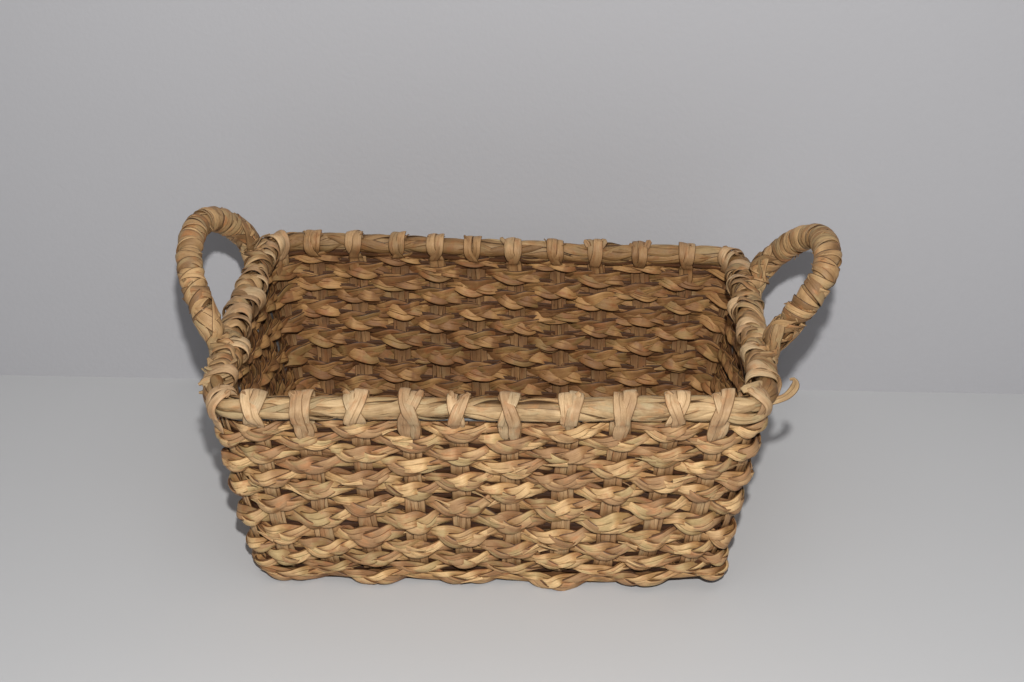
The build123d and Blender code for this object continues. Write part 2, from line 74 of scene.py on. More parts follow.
# where stakes meet the rim, along x or y
RIM_STAKES = {
    "front": [-158.0, -125.4, -88.7, -50.8, -18.4, 16.6, 57.5, 93.6, 128.9, 159.4],
    "back": [-152.8, -119.6, -84.6, -54.6, -24.7, 7.6, 41.8, 73.3, 109.1, 146.4],
    "left": [-86.0, -50.0, -17.0, 17.0, 50.0, 90.0],
    "right": [-86.0, -54.0, -17.0, 19.0, 62.0, 87.0],
}
# where they lie in the base: crosswise stakes in x, lengthwise rows in y, some of them stakes
BASE_X = [-143.8, -113.0, -82.0, -50.0, -17.0, 17.0, 50.0, 82.0, 113.0, 143.8]
BASE_Y = [-79.4, -68.9, -58.6, -47.8, -37.0, -26.7, -15.9, -5.15,
          5.15, 15.9, 26.7, 37.0, 47.8, 58.6, 68.9, 79.4]
BASE_STAKE_ROWS = [0, 3, 6, 9, 12, 15]
# all stakes, anticlockwise
STAKES = (
    [("front", j) for j in range(10)] + [("corner", 0)]
    + [("right", j) for j in range(6)] + [("corner", 1)]
    + [("back", j) for j in reversed(range(10))] + [("corner", 2)]
    + [("left", j) for j in reversed(range(6))] + [("corner", 3)]
)

# stakes: the stakes its feet stand at; lean: outward, degrees; middle, half, height: the loop's
# centre in y, half width and height; full: how square it is; skew: its drift forwards
HANDLES = {
    "left": dict(stakes=(1, 5), lean=30.0, middle=23.0, half=72.0, height=66.3, full=2.0, skew=0.0),
    "right": dict(stakes=(1, 4), lean=34.0, middle=8.5, half=60.0, height=84.5, full=2.6,
                  skew=0.0033),
}
LEG_OUT = 9.4                           # a handle foot's distance outside the rim's centre line


# ------------------------------------------------------------------ numbers and lines
def random(seed):
    return np.random.default_rng(seed)


def smooth(a, b, x):
    part = np.clip((np.asarray(x, float) - a) / (b - a), 0, 1)
    return part * part * (3 - 2 * part)


def rise_fall(x, end, edge):
    """Rises from 0 to 1 over edge at the start and falls back over edge before end."""
    return smooth(0, edge, x) * smooth(end, end - edge, x)


def wander(at, step, seed, amp=1.0, loop=None):
    """Smooth noise, about one swing per step; it closes on itself over loop when given."""
    at = np.asarray(at, float)
    if loop:
        count = max(4, int(round(loop / step)))
        place = (at % loop) / loop * count
    else:
        low = at.min()
        count = int((at.max() - low) / step) + 4
        place = (at - low) / step + random(seed + 7).uniform(0, 1)
    values = random(seed).uniform(-1, 1, count)
    index = np.floor(place).astype(int)
    part = smooth(0, 1, place - index)
    return amp * (values[index % count] * (1 - part) + values[(index + 1) % count] * part)


def unit(vectors):
    return vectors / (np.linalg.norm(vectors, axis=-1, keepdims=True) + 1e-12)


def tangents(path, closed=False):
    if closed:
        return unit(np.roll(path, -1, axis=0) - np.roll(path, 1, axis=0))
    return unit(np.gradient(path, axis=0))


def square_to(vectors, tangent):
    """Unit vectors nearest to the given ones at right angles to tangent."""
    return unit(vectors - (vectors * tangent).sum(1)[:, None] * tangent)


def run_lengths(line):
    return np.append(0, np.cumsum(np.linalg.norm(np.diff(line, axis=0), axis=1)))


def interp_columns(at, known, values):
    return np.stack([np.interp(at, known, column) for column in values.T], -1)


def stretch(values, count):
    """The rows of values spread evenly over count places."""
    values = np.asarray(values, float)
    places = np.linspace(0, len(values) - 1, count)
    return interp_columns(places, np.arange(len(values)), values)


def resample(points, step):
    """A smooth evenly spaced line through points, by Catmull-Rom, and the lengths along it."""
    points = np.asarray(points, float)
    ends = np.vstack([2 * points[0] - points[1], points, 2 * points[-1] - points[-2]])
    out = []
    part = np.linspace(0, 1, 16, endpoint=False)[:, None]
    for i in range(1, len(ends) - 2):
        a, b, c, d = ends[i - 1:i + 3]
        out.append(0.5 * (2 * b + (c - a) * part + (2 * a - 5 * b + 4 * c - d) * part**2
                          + (3 * b - a - 3 * c + d) * part**3))
    line = np.vstack(out + [points[-1:]])
    length = run_lengths(line)
    count = max(4, int(round(length[-1] / step)) + 1)
    at = np.linspace(0, length[-1], count)
    return interp_columns(at, length, line), at


# ------------------------------------------------------------------ the wall's plan curve
def wall_part(z):
    return np.clip((np.asarray(z, float) - WALL_FOOT) / (ROLL_Z - WALL_FOOT), 0, 1)


def inset(z):
    """How far the wall stands inside the rim's plan curve at height z."""
    return TAPER * (1 - wall_part(z)) ** TAPER_POWER


def plan_sizes(depth):
    """Half sizes, corner radius, straight runs in x and y, and corner arc, inset by depth."""
    half_x, half_y = RIM_L / 2 - depth, RIM_W / 2 - depth
    radius = RIM_R + (BASE_R - RIM_R) * depth / TAPER
    bend = math.pi * radius / 2
    return half_x, half_y, radius, 2 * (half_x - radius), 2 * (half_y - radius), bend


def plan_total(depth):
    run_x, run_y, bend = plan_sizes(depth)[3:]
    return 2 * run_x + 2 * run_y + 4 * bend


def plan(depth, arc):
    """x, y and the outward normal's x, y on the plan curve inset by depth, at arc length arc."""
    depth, arc = np.broadcast_arrays(np.asarray(depth, float), np.asarray(arc, float))
    half_x, half_y, radius, run_x, run_y, bend = plan_sizes(depth)
    arc = arc % plan_total(depth)
    x, y, out_x, out_y = (np.zeros(arc.shape) for _ in range(4))
    edge = run_x / 2
    done = arc < edge
    x[done], y[done], out_y[done] = arc[done], -half_y[done], -1.0
    # each corner and the run after it: run, corner's signs, the run's direction, start angle
    for run, sign_x, sign_y, way_x, way_y, turn in (
        (run_y, 1, -1, 0, 1, -90),
        (run_x, 1, 1, -1, 0, 0),
        (run_y, -1, 1, 0, -1, 90),
        (run_x / 2 + 1, -1, -1, 1, 0, 180),
    ):
        centre_x, centre_y = sign_x * (half_x - radius), sign_y * (half_y - radius)
        on = ~done & (arc < edge + bend)
        angle = math.radians(turn) + (arc - edge) / radius
        x[on] = (centre_x + radius * np.cos(angle))[on]
        y[on] = (centre_y + radius * np.sin(angle))[on]
        out_x[on], out_y[on] = np.cos(angle)[on], np.sin(angle)[on]
        done |= on
        edge = edge + bend
        on = ~done & (arc < edge + run)
        x[on] = (centre_x + radius * way_y + way_x * (arc - edge))[on]
        y[on] = (centre_y - radius * way_x + way_y * (arc - edge))[on]
        out_x[on], out_y[on] = way_y, -way_x
        done |= on
        edge = edge + run
    return x, y, out_x, out_y


def stand_off(spot, out, z):
    """Points at height z, out millimetres outside the plan places in spot."""
    x, y, out_x, out_y = spot
    return np.stack(np.broadcast_arrays(x + out_x * out, y + out_y * out, z), -1)


def outward(spot):
    return np.stack([spot[2], spot[3], 0 * spot[2]], -1)


def ring_arcs(total, count):
    return np.arange(count) * total / count


def stake_arc(side, number, z, depth):
    """Where a stake stands on the plan curve at height z."""
    radius, run_x, run_y, bend = plan_sizes(depth)[2:]

    def along(value, half):
        if abs(value) <= half:
            return value
        past = radius * math.asin(min(abs(value) - half, radius * 0.95) / radius)
        return math.copysign(half + past, value)

    if side == "corner":
        return (
            run_x / 2 + bend / 2,
            run_x / 2 + 1.5 * bend + run_y,
            1.5 * run_x + 2.5 * bend + run_y,
            1.5 * run_x + 3.5 * bend + 2 * run_y,
        )[number]
    lengthwise = side in ("left", "right")
    base = BASE_Y[BASE_STAKE_ROWS[number]] if lengthwise else BASE_X[number]
    value = base + (RIM_STAKES[side][number] - base) * float(wall_part(z))
    if side == "front":
        return along(value, run_x / 2) % plan_total(depth)
    if side == "right":
        return run_x / 2 + bend + run_y / 2 + along(value, run_y / 2)
    if side == "back":
        return run_x + 2 * bend + run_y - along(value, run_x / 2)
    return 1.5 * run_x + 3 * bend + 1.5 * run_y - along(value, run_y / 2)


def stake_arcs(z, depth):
    """The places of all stakes, in the order of STAKES."""
    places = [stake_arc(side, j, z, depth) for side, j in STAKES]
    return np.array(places) % plan_total(depth)


def beside_stake(side, number, lane, z):
    """Plan places lane millimetres along from a stake at heights z."""
    depth = inset(z)
    arcs = [stake_arc(side, number, height, float(d)) for height, d in zip(z, depth)]
    return plan(depth, np.array(arcs) + lane)


WARP_Z = [0, 10, 21.6, 31.5, 42.2, 52.3, 64, 74.4, 95, 116, 136, 143, 150]
WARP_LIFT = [0, -1.6, -7.2, -8.0, -8.6, -6.6, -4.4, -0.7, 2, 4.2, 5, 4, 0]


def warp(points):
    """The basket's small irregularity: every piece goes through it, so pieces stay in contact."""
    x, y, z = points[..., 0], points[..., 1], points[..., 2]
    # the front wall bellies forwards near the foot, and the rows spread towards rim and foot
    y = y - 6.0 * (1 - smooth(15, 90, z)) * smooth(-60, -100, y)
    z = z + np.interp(z, WARP_Z, WARP_LIFT)
    part = np.clip(z / ROLL_Z, 0, 1)
    low = np.clip(z / 25, 0, 1)
    shift_x = 0.8 * np.sin(y / 47 + z / 61 + 1.3) + 0.5 * np.sin(z / 33 + y / 29)
    shift_y = 0.8 * np.sin(x / 53 + z / 49 + 0.4) + 0.5 * np.sin(x / 31 - z / 40 + 2)
    shift_z = low * 0.5 * np.sin(x / 39 + 1) * np.cos(y / 60) - 1.86e-4 * x * y * part
    # the front right bottom corner is drawn up a little
    lift = 7.0 * smooth(70, 165, x) * smooth(10, -95, y) * (1 - part) ** 2
    return np.stack([x + shift_x, y + shift_y, np.maximum(z + shift_z + lift, 0.05)], -1)


# ------------------------------------------------------------------ meshes
def section(count, edge, puff):
    """A strip's cross section, across and through; lower powers make it squarer."""
    angle = 2 * np.pi * np.arange(count) / count
    across, through = np.cos(angle), np.sin(angle)
    return (np.sign(across) * np.abs(np.round(across, 9)) ** edge,
            np.sign(through) * np.abs(np.round(through, 9)) ** puff)


class Piece:
    """Gathers strips of leaf into one mesh object that stands for one CAD node."""

    def __init__(self, node, ending, slot):
        self.node, self.name, self.slot = node, node + "_" + ending, slot
        self.verts, self.loops, self.starts, self.uvs, self.points = [], [], [], [], []
        self.count = self.loop_count = 0

    def add(self, grid, u, v, tone, seed, inner, closed=False):
        """grid is (rings, round, 3); u runs across a strip, v along it in centimetres."""
        rings, around, _ = grid.shape
        rows = rings if closed else rings - 1

        def corners(values):
            beside = np.roll(values, -1, axis=1)
            four = (values, beside, np.roll(beside, -1, axis=0), np.roll(values, -1, axis=0))
            return np.stack([a[:rows] for a in four], -1)

        ids = self.count + np.arange(rings * around).reshape(rings, around)
        quads = corners(ids).reshape(-1, 4)
        u = np.broadcast_to(u, (rings, around))
        v_next = np.append(v[1:], v[-1] + (v[1] - v[0]))[:rows]
        quad_u = corners(u)
        quad_v = np.stack([v[:rows], v[:rows], v_next, v_next], -1)[:, None]
        quad_v = np.broadcast_to(quad_v, quad_u.shape)
        self.loops.append(quads.ravel())
        self.starts.append(self.loop_count + 4 * np.arange(len(quads)))
        self.loop_count += 4 * len(quads)
        self.uvs.append(np.stack([quad_u, quad_v], -1).reshape(-1, 2))
        if not closed:
            for ring, end_v in ((ids[0][::-1], v[0]), (ids[-1], v[-1])):
                self.loops.append(ring)
                self.starts.append(np.array([self.loop_count]))
                self.loop_count += around
                self.uvs.append(np.stack([u[0], np.full(around, end_v)], -1))
        self.verts.append(grid.reshape(-1, 3))
        columns = []
        for value in (tone, seed, inner):
            value = np.asarray(value, float)
            if value.ndim == 1:
                value = value[:, None]
            columns.append(np.broadcast_to(value, (rings, around)).ravel())
        self.points.append(np.stack(columns, -1))
        self.count += rings * around

    def strip(self, path, normal, width, thick, tone, seed, inner=0.0, around=8, bow=0.0,
              closed=False, v_start=0.0, edge=0.85, puff=0.8, shift=None, lift=None, dark=None):
        """A strip along path, flat side facing normal, with half sizes width and thick.

        dark adds painted shade to its front and its back, and marks the back as facing inwards.
        """
        path = np.asarray(path, float)
        count = len(path)
        tangent = tangents(path, closed)
        normal = square_to(normal, tangent)
        side = np.cross(normal, tangent)
        if shift is not None:
            path = path + side * shift[:, None] + normal * lift[:, None]
        across, through = section(around, edge, puff)
        width, thick = (np.broadcast_to(np.asarray(a, float), (count,)) for a in (width, thick))
        if dark is not None:
            # painted shade: the strip's edges are darkened for the grooves between strips and its
            # back face is marked as facing inwards; dark adds painted shade where the strip is
            # covered
            inner = np.broadcast_to(np.clip(0.72 - through, 0, 0.94), (count, around))
            inner = inner + np.where(through[None] >= -0.1, dark[0][:, None], dark[1][:, None])
        grid = path[:, None] + side[:, None] * (across * width[:, None])[..., None]
        depth = through * thick[:, None] - bow * across**2
        grid = grid + normal[:, None] * depth[..., None]
        v = run_lengths(path) / 10.0 + v_start
        self.add(grid, 0.5 + 0.5 * across, v, tone, seed, inner, closed)

    def finish(self):
        points = warp(np.concatenate(self.verts))
        points = (points - np.array([ORIGIN_X, 0, 0])) * 0.001
        mesh = bpy.data.meshes.new(self.name)
        mesh.vertices.add(len(points))
        mesh.vertices.foreach_set("co", points.astype(np.float32).ravel())
        loops = np.concatenate(self.loops).astype(np.int32)
        starts = np.concatenate(self.starts).astype(np.int32)
        mesh.loops.add(len(loops))
        mesh.loops.foreach_set("vertex_index", loops)
        mesh.polygons.add(len(starts))
        mesh.polygons.foreach_set("loop_start", starts)
        mesh.update(calc_edges=True)
        layer = mesh.uv_layers.new(name="UVMap")
        layer.data.foreach_set("uv", np.concatenate(self.uvs).astype(np.float32).ravel())
        values = np.concatenate(self.points).astype(np.float32)
        for i, name in enumerate(("tone", "seed", "inner")):
            attribute = mesh.attributes.new(name, "FLOAT", "POINT")
            attribute.data.foreach_set("value", np.ascontiguousarray(values[:, i]))
        mesh.polygons.foreach_set("use_smooth", np.ones(len(starts), bool))
        mesh.validate()
        mesh.set_sharp_from_angle(angle=math.radians(64))
        mesh.materials.append(LOOK[self.slot])
        ob = bpy.data.objects.new(self.name, mesh)
        bpy.context.scene.collection.objects.link(ob)
        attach(ob, "root")
        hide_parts(self.node)


def free_strip(piece, points, facing, width, tone, seed, thick=0.6, taper=(0.3, 0.3), inner=0.0,
               curl=0.0):
    """A loose or lashing strip through points; its flat side faces away from facing."""
    line, at = resample(points, 1.4)
    part = at / at[-1]
    face = stretch(resample(facing, 1.4)[0], len(line))
    normal = line - face
    side = unit(np.cross(normal, tangents(line)))
    normal = unit(normal) + side * (curl * part + wander(at, 14.0, seed + 1, 0.2))[:, None]
    width = width * (1 + wander(at, 10.0, seed + 2, 0.12))
    width = width * (taper[0] + (1 - taper[0]) * smooth(0, 0.15, part))
    width = width * (taper[1] + (1 - taper[1]) * smooth(1, 0.82, part))
    piece.strip(line, normal, width, thick, tone, (seed * 0.377) % 1.0, inner, around=10,
                bow=0.3, v_start=(seed * 0.91) % 29, edge=0.95, puff=0.6)


# ------------------------------------------------------------------ materials
class Value:
    """A shader output; arithmetic on it adds math nodes."""

    def __init__(self, graph, socket):
        self.graph, self.socket = graph, socket

    def __add__(self, other):
        return self.graph.maths("ADD", self, other)

    def __sub__(self, other):
        return self.graph.maths("SUBTRACT", self, other)

    def __mul__(self, other):
        return self.graph.maths("MULTIPLY", self, other)

    def __pow__(self, other):
        return self.graph.maths("POWER", self, other)

    def __abs__(self):
        return self.graph.maths("ABSOLUTE", self)


class Graph:
    """A material and short ways to add nodes to it."""

    def __init__(self, name, empty=False):
        self.material = bpy.data.materials.new(name)
        self.material.use_nodes = True
        self.tree = self.material.node_tree
        nodes = self.tree.nodes
        if empty:
            nodes.clear()
            self.shader = nodes.new("ShaderNodeBsdfPrincipled")
            output = nodes.new("ShaderNodeOutputMaterial")
            self.tree.links.new(self.shader.outputs[0], output.inputs[0])
        else:
            self.shader = nodes["Principled BSDF"]

    def put(self, sockets, values):
        for key, value in values.items():
            if isinstance(value, Value):
                self.tree.links.new(value.socket, sockets[key])
            elif isinstance(value, tuple):
                sockets[key].default_value = (*value, 1.0)
            else:
                sockets[key].default_value = value

    def shade(self, values):
        self.put(self.shader.inputs, values)

    def node(self, kind, inputs={}, out=0, **settings):
        node = self.tree.nodes.new(kind)
        for key, value in settings.items():
            setattr(node, key, value)
        self.put(node.inputs, inputs)
        return Value(self, node.outputs[out])

    def maths(self, operation, *values):
        return self.node("ShaderNodeMath", dict(enumerate(values)), operation=operation)

    def ramp(self, value, low, high, to_low=0.0, to_high=1.0, kind="SMOOTHSTEP"):
        inputs = dict(enumerate((value, low, high, to_low, to_high)))
        return self.node("ShaderNodeMapRange", inputs, interpolation_type=kind)

    def noise(self, vector, detail, rough=0.5, scale=1.0):
        inputs = {"Vector": vector, "Scale": scale, "Detail": detail, "Roughness": rough}
        return self.node("ShaderNodeTexNoise", inputs, noise_dimensions="3D")

    def vector(self, *values):
        return self.node("ShaderNodeCombineXYZ", dict(enumerate(values)))

    def mix(self, factor, a, b, kind="MIX"):
        inputs = {"Factor": factor, 6: a, 7: b}
        return self.node("ShaderNodeMix", inputs, 2, data_type="RGBA", blend_type=kind)

    def bump(self, height, strength, distance):
        inputs = {"Strength": strength, "Distance": distance, "Height": height}
        return self.node("ShaderNodeBump", inputs)


def leaf_material(name, light, mid, red, grey, crease=1.0, rim_shade_level=0.40):
    """Dry leaf; crease is the depth of the folds and of the painted shade in them, and the last
    argument the brightness left at a strip's rims by their painted shade.
    """
    graph = Graph(name, empty=True)
    ramp, mix = graph.ramp, graph.mix
    uv = graph.node("ShaderNodeUVMap", uv_map="UVMap")
    u = graph.node("ShaderNodeSeparateXYZ", {0: uv})
    v = Value(graph, u.socket.node.outputs[1])
    tone, seed, inner = (
        graph.node("ShaderNodeAttribute", out="Fac", attribute_name=key)
        for key in ("tone", "seed", "inner")
    )
    far = seed * 97.0                   # every strip reads its own part of the noise

    def grain(across, along, shift, detail, rough):
        place = far + shift if shift else far
        return graph.noise(graph.vector(u * across, v * along, place), detail, rough)

    fibre = grain(across=13.0, along=0.45, shift=0.0, detail=3.0, rough=0.6)
    fine = grain(across=38.0, along=1.7, shift=31.0, detail=2.0, rough=0.6)
    blotch = grain(across=1.1, along=0.6, shift=57.0, detail=2.0, rough=0.5)
    patch = grain(across=1.6, along=0.8, shift=11.0, detail=3.0, rough=0.6)
    speck = grain(across=9.0, along=7.0, shift=71.0, detail=2.0, rough=0.7)
    wrinkle = grain(across=2.0, along=5.5, shift=83.0, detail=2.0, rough=0.6)

    # light and dark leaf, then red patches and grey blotches
    lightness = tone * 0.95 + (blotch - 0.5) * 1.5
    colour = mix(ramp(lightness, 0.05, 0.95), mid, light)
    colour = mix(ramp(patch, 0.51, 0.68) * 0.75, colour, red)
    colour = mix(ramp(blotch + seed * 0.25, 0.66, 0.82) * 0.6, colour, grey)
    # shade from the three grains
    shade = (fibre - 0.5) * 0.75 + 1.0
    shade = shade * ((fine - 0.5) * 0.45 + 1.0)
    shade = shade * ((speck - 0.5) * 0.25 + 1.0)
    # painted shade darkens the strip's two rims, standing for the grooves between strips, with some
    # browner leaf edge; a long fold runs down most strips
    rim = ramp(abs(u - 0.5) * 2.0, 0.86, 0.98)
    drift = graph.noise(graph.vector(v * 0.3, far, 5.0), 1.0)
    fold_at = drift * 0.9 + 0.02
    fold_gap = abs(u - fold_at)
    fold_on = ramp(graph.noise(graph.vector(v * 0.5, far + 3.0, 9.0), 1.0), 0.42, 0.56)
    fold = ramp(fold_gap, 0.0, 0.05, 1.0, 0.0) * fold_on
    # one side of the fold lies a little lower, and painted shade makes it darker than the other
    ledge = ramp(u - fold_at, -0.03, 0.03) * fold_on
    shade = shade * ramp(ledge, 0.0, 1.0, 1.04, 0.90 if crease > 0.9 else 0.97)
    # painted shade along the strip's rims, deeper on inward faces
    shade = shade * ramp(rim, 0.0, 1.0, 1.0, rim_shade_level) ** (inner * 0.7 + 1.0)
    # painted shade in the fold's crease
    shade = shade * ramp(fold, 0.0, 1.0, 1.0, 1 - 0.45 * crease)
    # inward and covered faces are darker by painted shade, and warmer, partly the inside's own less
    # faded colour and partly painted bounce light
    gain = 1.0
    shade = shade * (graph.maths("POWER", 0.60, inner) * gain)
    warm = mix(1.0, colour, (1.0, 0.90, 0.80), "MULTIPLY")
    colour = mix(graph.maths("MINIMUM", inner, 1.0), colour, warm)
    # shadows lose more green and blue than red
    tint = graph.node("ShaderNodeCombineColor", {
        i: graph.maths("MAXIMUM", shade, 0.01) ** power
        for i, power in enumerate((0.95, 1.13, 1.42))
    })
    height = fibre * 0.55 + fine * 0.30 + wrinkle * 0.35
    height = height - fold * (0.8 * crease) - ledge * (0.55 * crease) - rim * 0.5
    graph.shade({
        "Base Color": mix(1.0, colour, tint, "MULTIPLY"),
        "Normal": graph.bump(height, strength=0.75, distance=0.0009),
        "Roughness": ramp(fine, 0.3, 0.7, 0.50, 0.72),
        "Specular IOR Level": 0.42,
    })
    return graph.material


def wire_material():
    graph = Graph("galvanised_wire_look")
    place = graph.node("ShaderNodeTexCoord", out="Object")
    spangle = graph.node("ShaderNodeTexVoronoi", {"Vector": place, "Scale": 600.0}, "Distance")
    grime = graph.noise(place, detail=4.0, scale=90.0)
    mottle = graph.maths("MULTIPLY_ADD", spangle, 0.25, grime)
    colour = graph.node("ShaderNodeValToRGB", {0: mottle})
    # the zinc is coloured dark grey rather than bright, as painted shade for wire lying in the rim's
    # shadow
    dark, bright = colour.socket.node.color_ramp.elements
    dark.position, dark.color = 0.25, (0.055, 0.053, 0.05, 1)
    bright.position, bright.color = 0.75, (0.17, 0.17, 0.17, 1)
    graph.shade({
        "Base Color": colour,
        "Roughness": graph.ramp(grime, 0.0, 1.0, 0.5, 0.8, kind="LINEAR"),
        "Normal": graph.bump(grime, strength=0.3, distance=0.0003),
        "Metallic": 0.85,
    })
    return graph.material


LOOK = {
    "leaf_plait": leaf_material(
        "leaf_plait_look", light=(0.70, 0.458, 0.218), mid=(0.36, 0.202, 0.094),
        red=(0.47, 0.222, 0.094), grey=(0.38, 0.290, 0.130)),
    "leaf_plait_base": leaf_material(
        "leaf_plait_base_look", light=(0.50, 0.305, 0.138), mid=(0.30, 0.165, 0.067),
        red=(0.38, 0.18, 0.07), grey=(0.29, 0.22, 0.108)),
    "leaf_stake": leaf_material(
        "leaf_stake_look", light=(0.58, 0.385, 0.205), mid=(0.34, 0.200, 0.098),
        red=(0.43, 0.220, 0.098), grey=(0.38, 0.280, 0.158), crease=0.6),
    "leaf_rim": leaf_material(
        "leaf_rim_look", light=(0.53, 0.358, 0.180), mid=(0.28, 0.170, 0.076),
        red=(0.40, 0.210, 0.086), grey=(0.34, 0.265, 0.140), crease=0.8, rim_shade_level=0.30),
    "leaf_handle": leaf_material(
        "leaf_handle_look", light=(0.49, 0.300, 0.135), mid=(0.20, 0.105, 0.041),
        red=(0.38, 0.165, 0.058), grey=(0.30, 0.215, 0.104), crease=0.5, rim_shade_level=0.20),
    "leaf_binding": leaf_material(
        "leaf_binding_look", light=(0.48, 0.305, 0.145), mid=(0.23, 0.130, 0.056),
        red=(0.39, 0.185, 0.072), grey=(0.31, 0.232, 0.116), crease=0.5, rim_shade_level=0.22),
    "galvanised_wire": wire_material(),
}


# ------------------------------------------------------------------ plaits
def blur(values):
    return (np.roll(values, 1) + values + np.roll(values, -1)) / 3


def plait(piece, centre, out, up, at, total, cycle, seed, squeeze, half, wave=None):
    """Three flat strands plaited along a centre line; squeeze below 1 draws the plait in.

    With wave, the row's swing in and out of the wall, it is a closed ring seen from both sides;
    without it an open plait in the base.
    """
    draw = random(seed)
    closed = wave is not None
    turns = max(1, int(round(total / cycle))) if closed else total / cycle
    start = draw.uniform(0, 2 * np.pi)
    loop = total if closed else None
    phase = 2 * np.pi * turns * at / total + start + wander(at, 30.0, seed + 1, 0.50, loop)
    for i in range(3):
        strand = phase + 2 * np.pi * i / 3
        # each pass of a strand over the plait has its own tone, width and tilt; they change
        # where it is hidden
        step = np.floor((strand + 0.25 * np.pi) / np.pi).astype(int)
        step = step % (2 * turns) if closed else step - step.min()
        tints, widths, tilts = (draw.uniform(-1, 1, step.max() + 1)[step] for _ in range(3))
        spread = 1 + wander(at, 24.0, seed + 10 + i, 0.14, loop) + 0.10 * blur(blur(widths))
        swing = (half - 4.0) * squeeze * (1 + wander(at, 19.0, seed + 20 + i, 0.15, loop))
        sway = np.sin(strand) - 0.10 * np.sin(3 * strand) + 0.03 * np.sin(5 * strand)
        sideways = 1.08 * swing * sway + wander(at, 15.0, seed + 30 + i, 0.30, loop)
        over = np.sin(2 * strand)
        depth = 1.35 * over * (0.75 + 0.25 * squeeze)
        depth = depth + wander(at, 15.0, seed + 40 + i, 0.15, loop)
        path = centre + up * sideways[:, None] + out * depth[:, None]
        # it tips outwards where it turns at the plait's edge, and leans where it crosses
        roll = 0.42 * np.sin(strand) - 0.20 * np.cos(strand) + 0.17 * blur(blur(tilts))
        roll = roll + wander(at, 12.0, seed + 50 + i, 0.14, loop)
        normal = out * np.cos(roll)[:, None] + up * np.sin(roll)[:, None]
        width = 4.45 * squeeze * spread
        thick = 0.95 * (1 + wander(at, 9.0, seed + 60 + i, 0.12, loop))
        if not closed:
            fade = 0.35 + 0.65 * rise_fall(at, total, 9.0)
            width, thick = width * fade, thick * fade
        tone = 0.5 + 0.22 * draw.uniform(-1, 1) + 0.42 * tints
        tone = np.clip(tone + wander(at, 60.0, seed + 70 + i, 0.22, loop), 0, 1)
        mark = draw.uniform(0, 1)
        inner, dark = 0.55, None
        # dark paints shade where a strand dives under its neighbours and where the row passes behind
        # a stake, first for the outer faces, then for the inner ones
        if closed:
            dark = (0.85 * smooth(0.55, -0.30, over) + 0.55 * smooth(0.15, -0.7, wave),
                    0.50 * smooth(-0.55, 0.30, over) + 0.45 * smooth(-0.15, 0.7, wave))
        piece.strip(path, normal, width, thick, tone, mark, inner, around=10, bow=0.30,
                    closed=closed, v_start=draw.uniform(0, 40), edge=0.80, puff=0.38, dark=dark)
        # folded layers lying along the strand, on either face
        begin = draw.uniform(0, 30)
        while begin < total - 60:
            length = draw.uniform(32, 85)
            pick = np.where((at >= begin) & (at <= begin + length))[0]
            begin += length + draw.uniform(5, 60)
            if len(pick) < 8:
                continue
            fade = rise_fall(np.linspace(0, 1, len(pick)), 1, 0.22)
            hand = draw.choice([-1, 1])
            face = 1 if draw.uniform() < 0.6 else -1
            layer_width = width[pick] * draw.uniform(0.42, 0.62) * (0.12 + 0.88 * fade)
            layer_tone = np.clip(tone[pick] + draw.uniform(-0.35, 0.35), 0, 1)
            layer_mark = (mark + draw.uniform(0.1, 0.9)) % 1.0
            if closed:
                inner = 0.1 + dark[0][pick] if face > 0 else 1.0 + dark[1][pick]
            piece.strip(path[pick], normal[pick], layer_width, 0.42, layer_tone, layer_mark,
                        inner, bow=0.1, v_start=draw.uniform(0, 40), edge=0.80, puff=0.45,
                        shift=hand * (width[pick] - layer_width * 0.86),
                        lift=face * (thick[pick] + 0.10) * fade)


# ------------------------------------------------------------------ wall rows
def row_place(row):
    """A row's height, inset and tilt."""
    if row == FOOT:
        return FOOT_Z, FOOT_INSET, FOOT_TILT
    z = ROW_Z[row]
    return z, float(inset(z)), float(np.arctan((inset(z - 4) - inset(z + 4)) / 8))


def row_wave(row, stakes, arc, total):
    """The row's swing along arc: out past one stake (1) and in past the next (-1)."""
    order = np.argsort(stakes)
    place = np.append(stakes[order], stakes[order][0] + total)
    ids = np.append(order, order[0])
    i = np.searchsorted(place, arc, side="right") - 1
    arc = np.where(i < 0, arc + total, arc)
    i = np.where(i < 0, len(place) - 2, i)
    part = (arc - place[i]) / (place[i + 1] - place[i])
    sign = np.where((ids[i] + row) % 2 == 0, 1.0, -1.0)
    turn = np.cos(np.pi * part)
    return sign * turn * (1.18 - 0.18 * turn * turn)


def back_rise(row, y):
    return BACK_RISE[row] * smooth(-70, 118, y)


def gap_shade_strips(piece, row, z, depth, width, clear):
    """Dark flat strips in the middle of the wall between stakes, closing the gap by a row; painted
    with deep shade, they stand for the shadowed holes between rows.
    """
    total = plan_total(depth)
    stops = np.sort(stake_arcs(z, depth))
    for i, (a, b) in enumerate(zip(stops, np.append(stops[1:], stops[0] + total))):
        count = max(6, int((b - a - 2 * clear) / 3.0))
        arc = np.linspace(a + clear, b - clear, count)
        spot = plan(depth, arc)
        # in the front wall they lie deeper and get more painted shade, so the gaps there still read
        # as open
        deep = spot[1].mean() < -102
        out = -2.2 if deep else 0.0
        y = spot[1] + spot[3] * out
        height = z + back_rise(row, y) + wander(arc, 12.0, 60 * row + i, 0.3)
        ends = np.sin(np.pi * np.linspace(0.12, 0.88, count)) ** 0.4
        # painted shade: nearly black, the values 4.4 and 3.1 standing for the shadow in the gaps
        piece.strip(stand_off(spot, out, height), outward(spot), width * ends, 0.35, 0.2, 0.41,
                    4.4 if deep else 3.1, around=6)


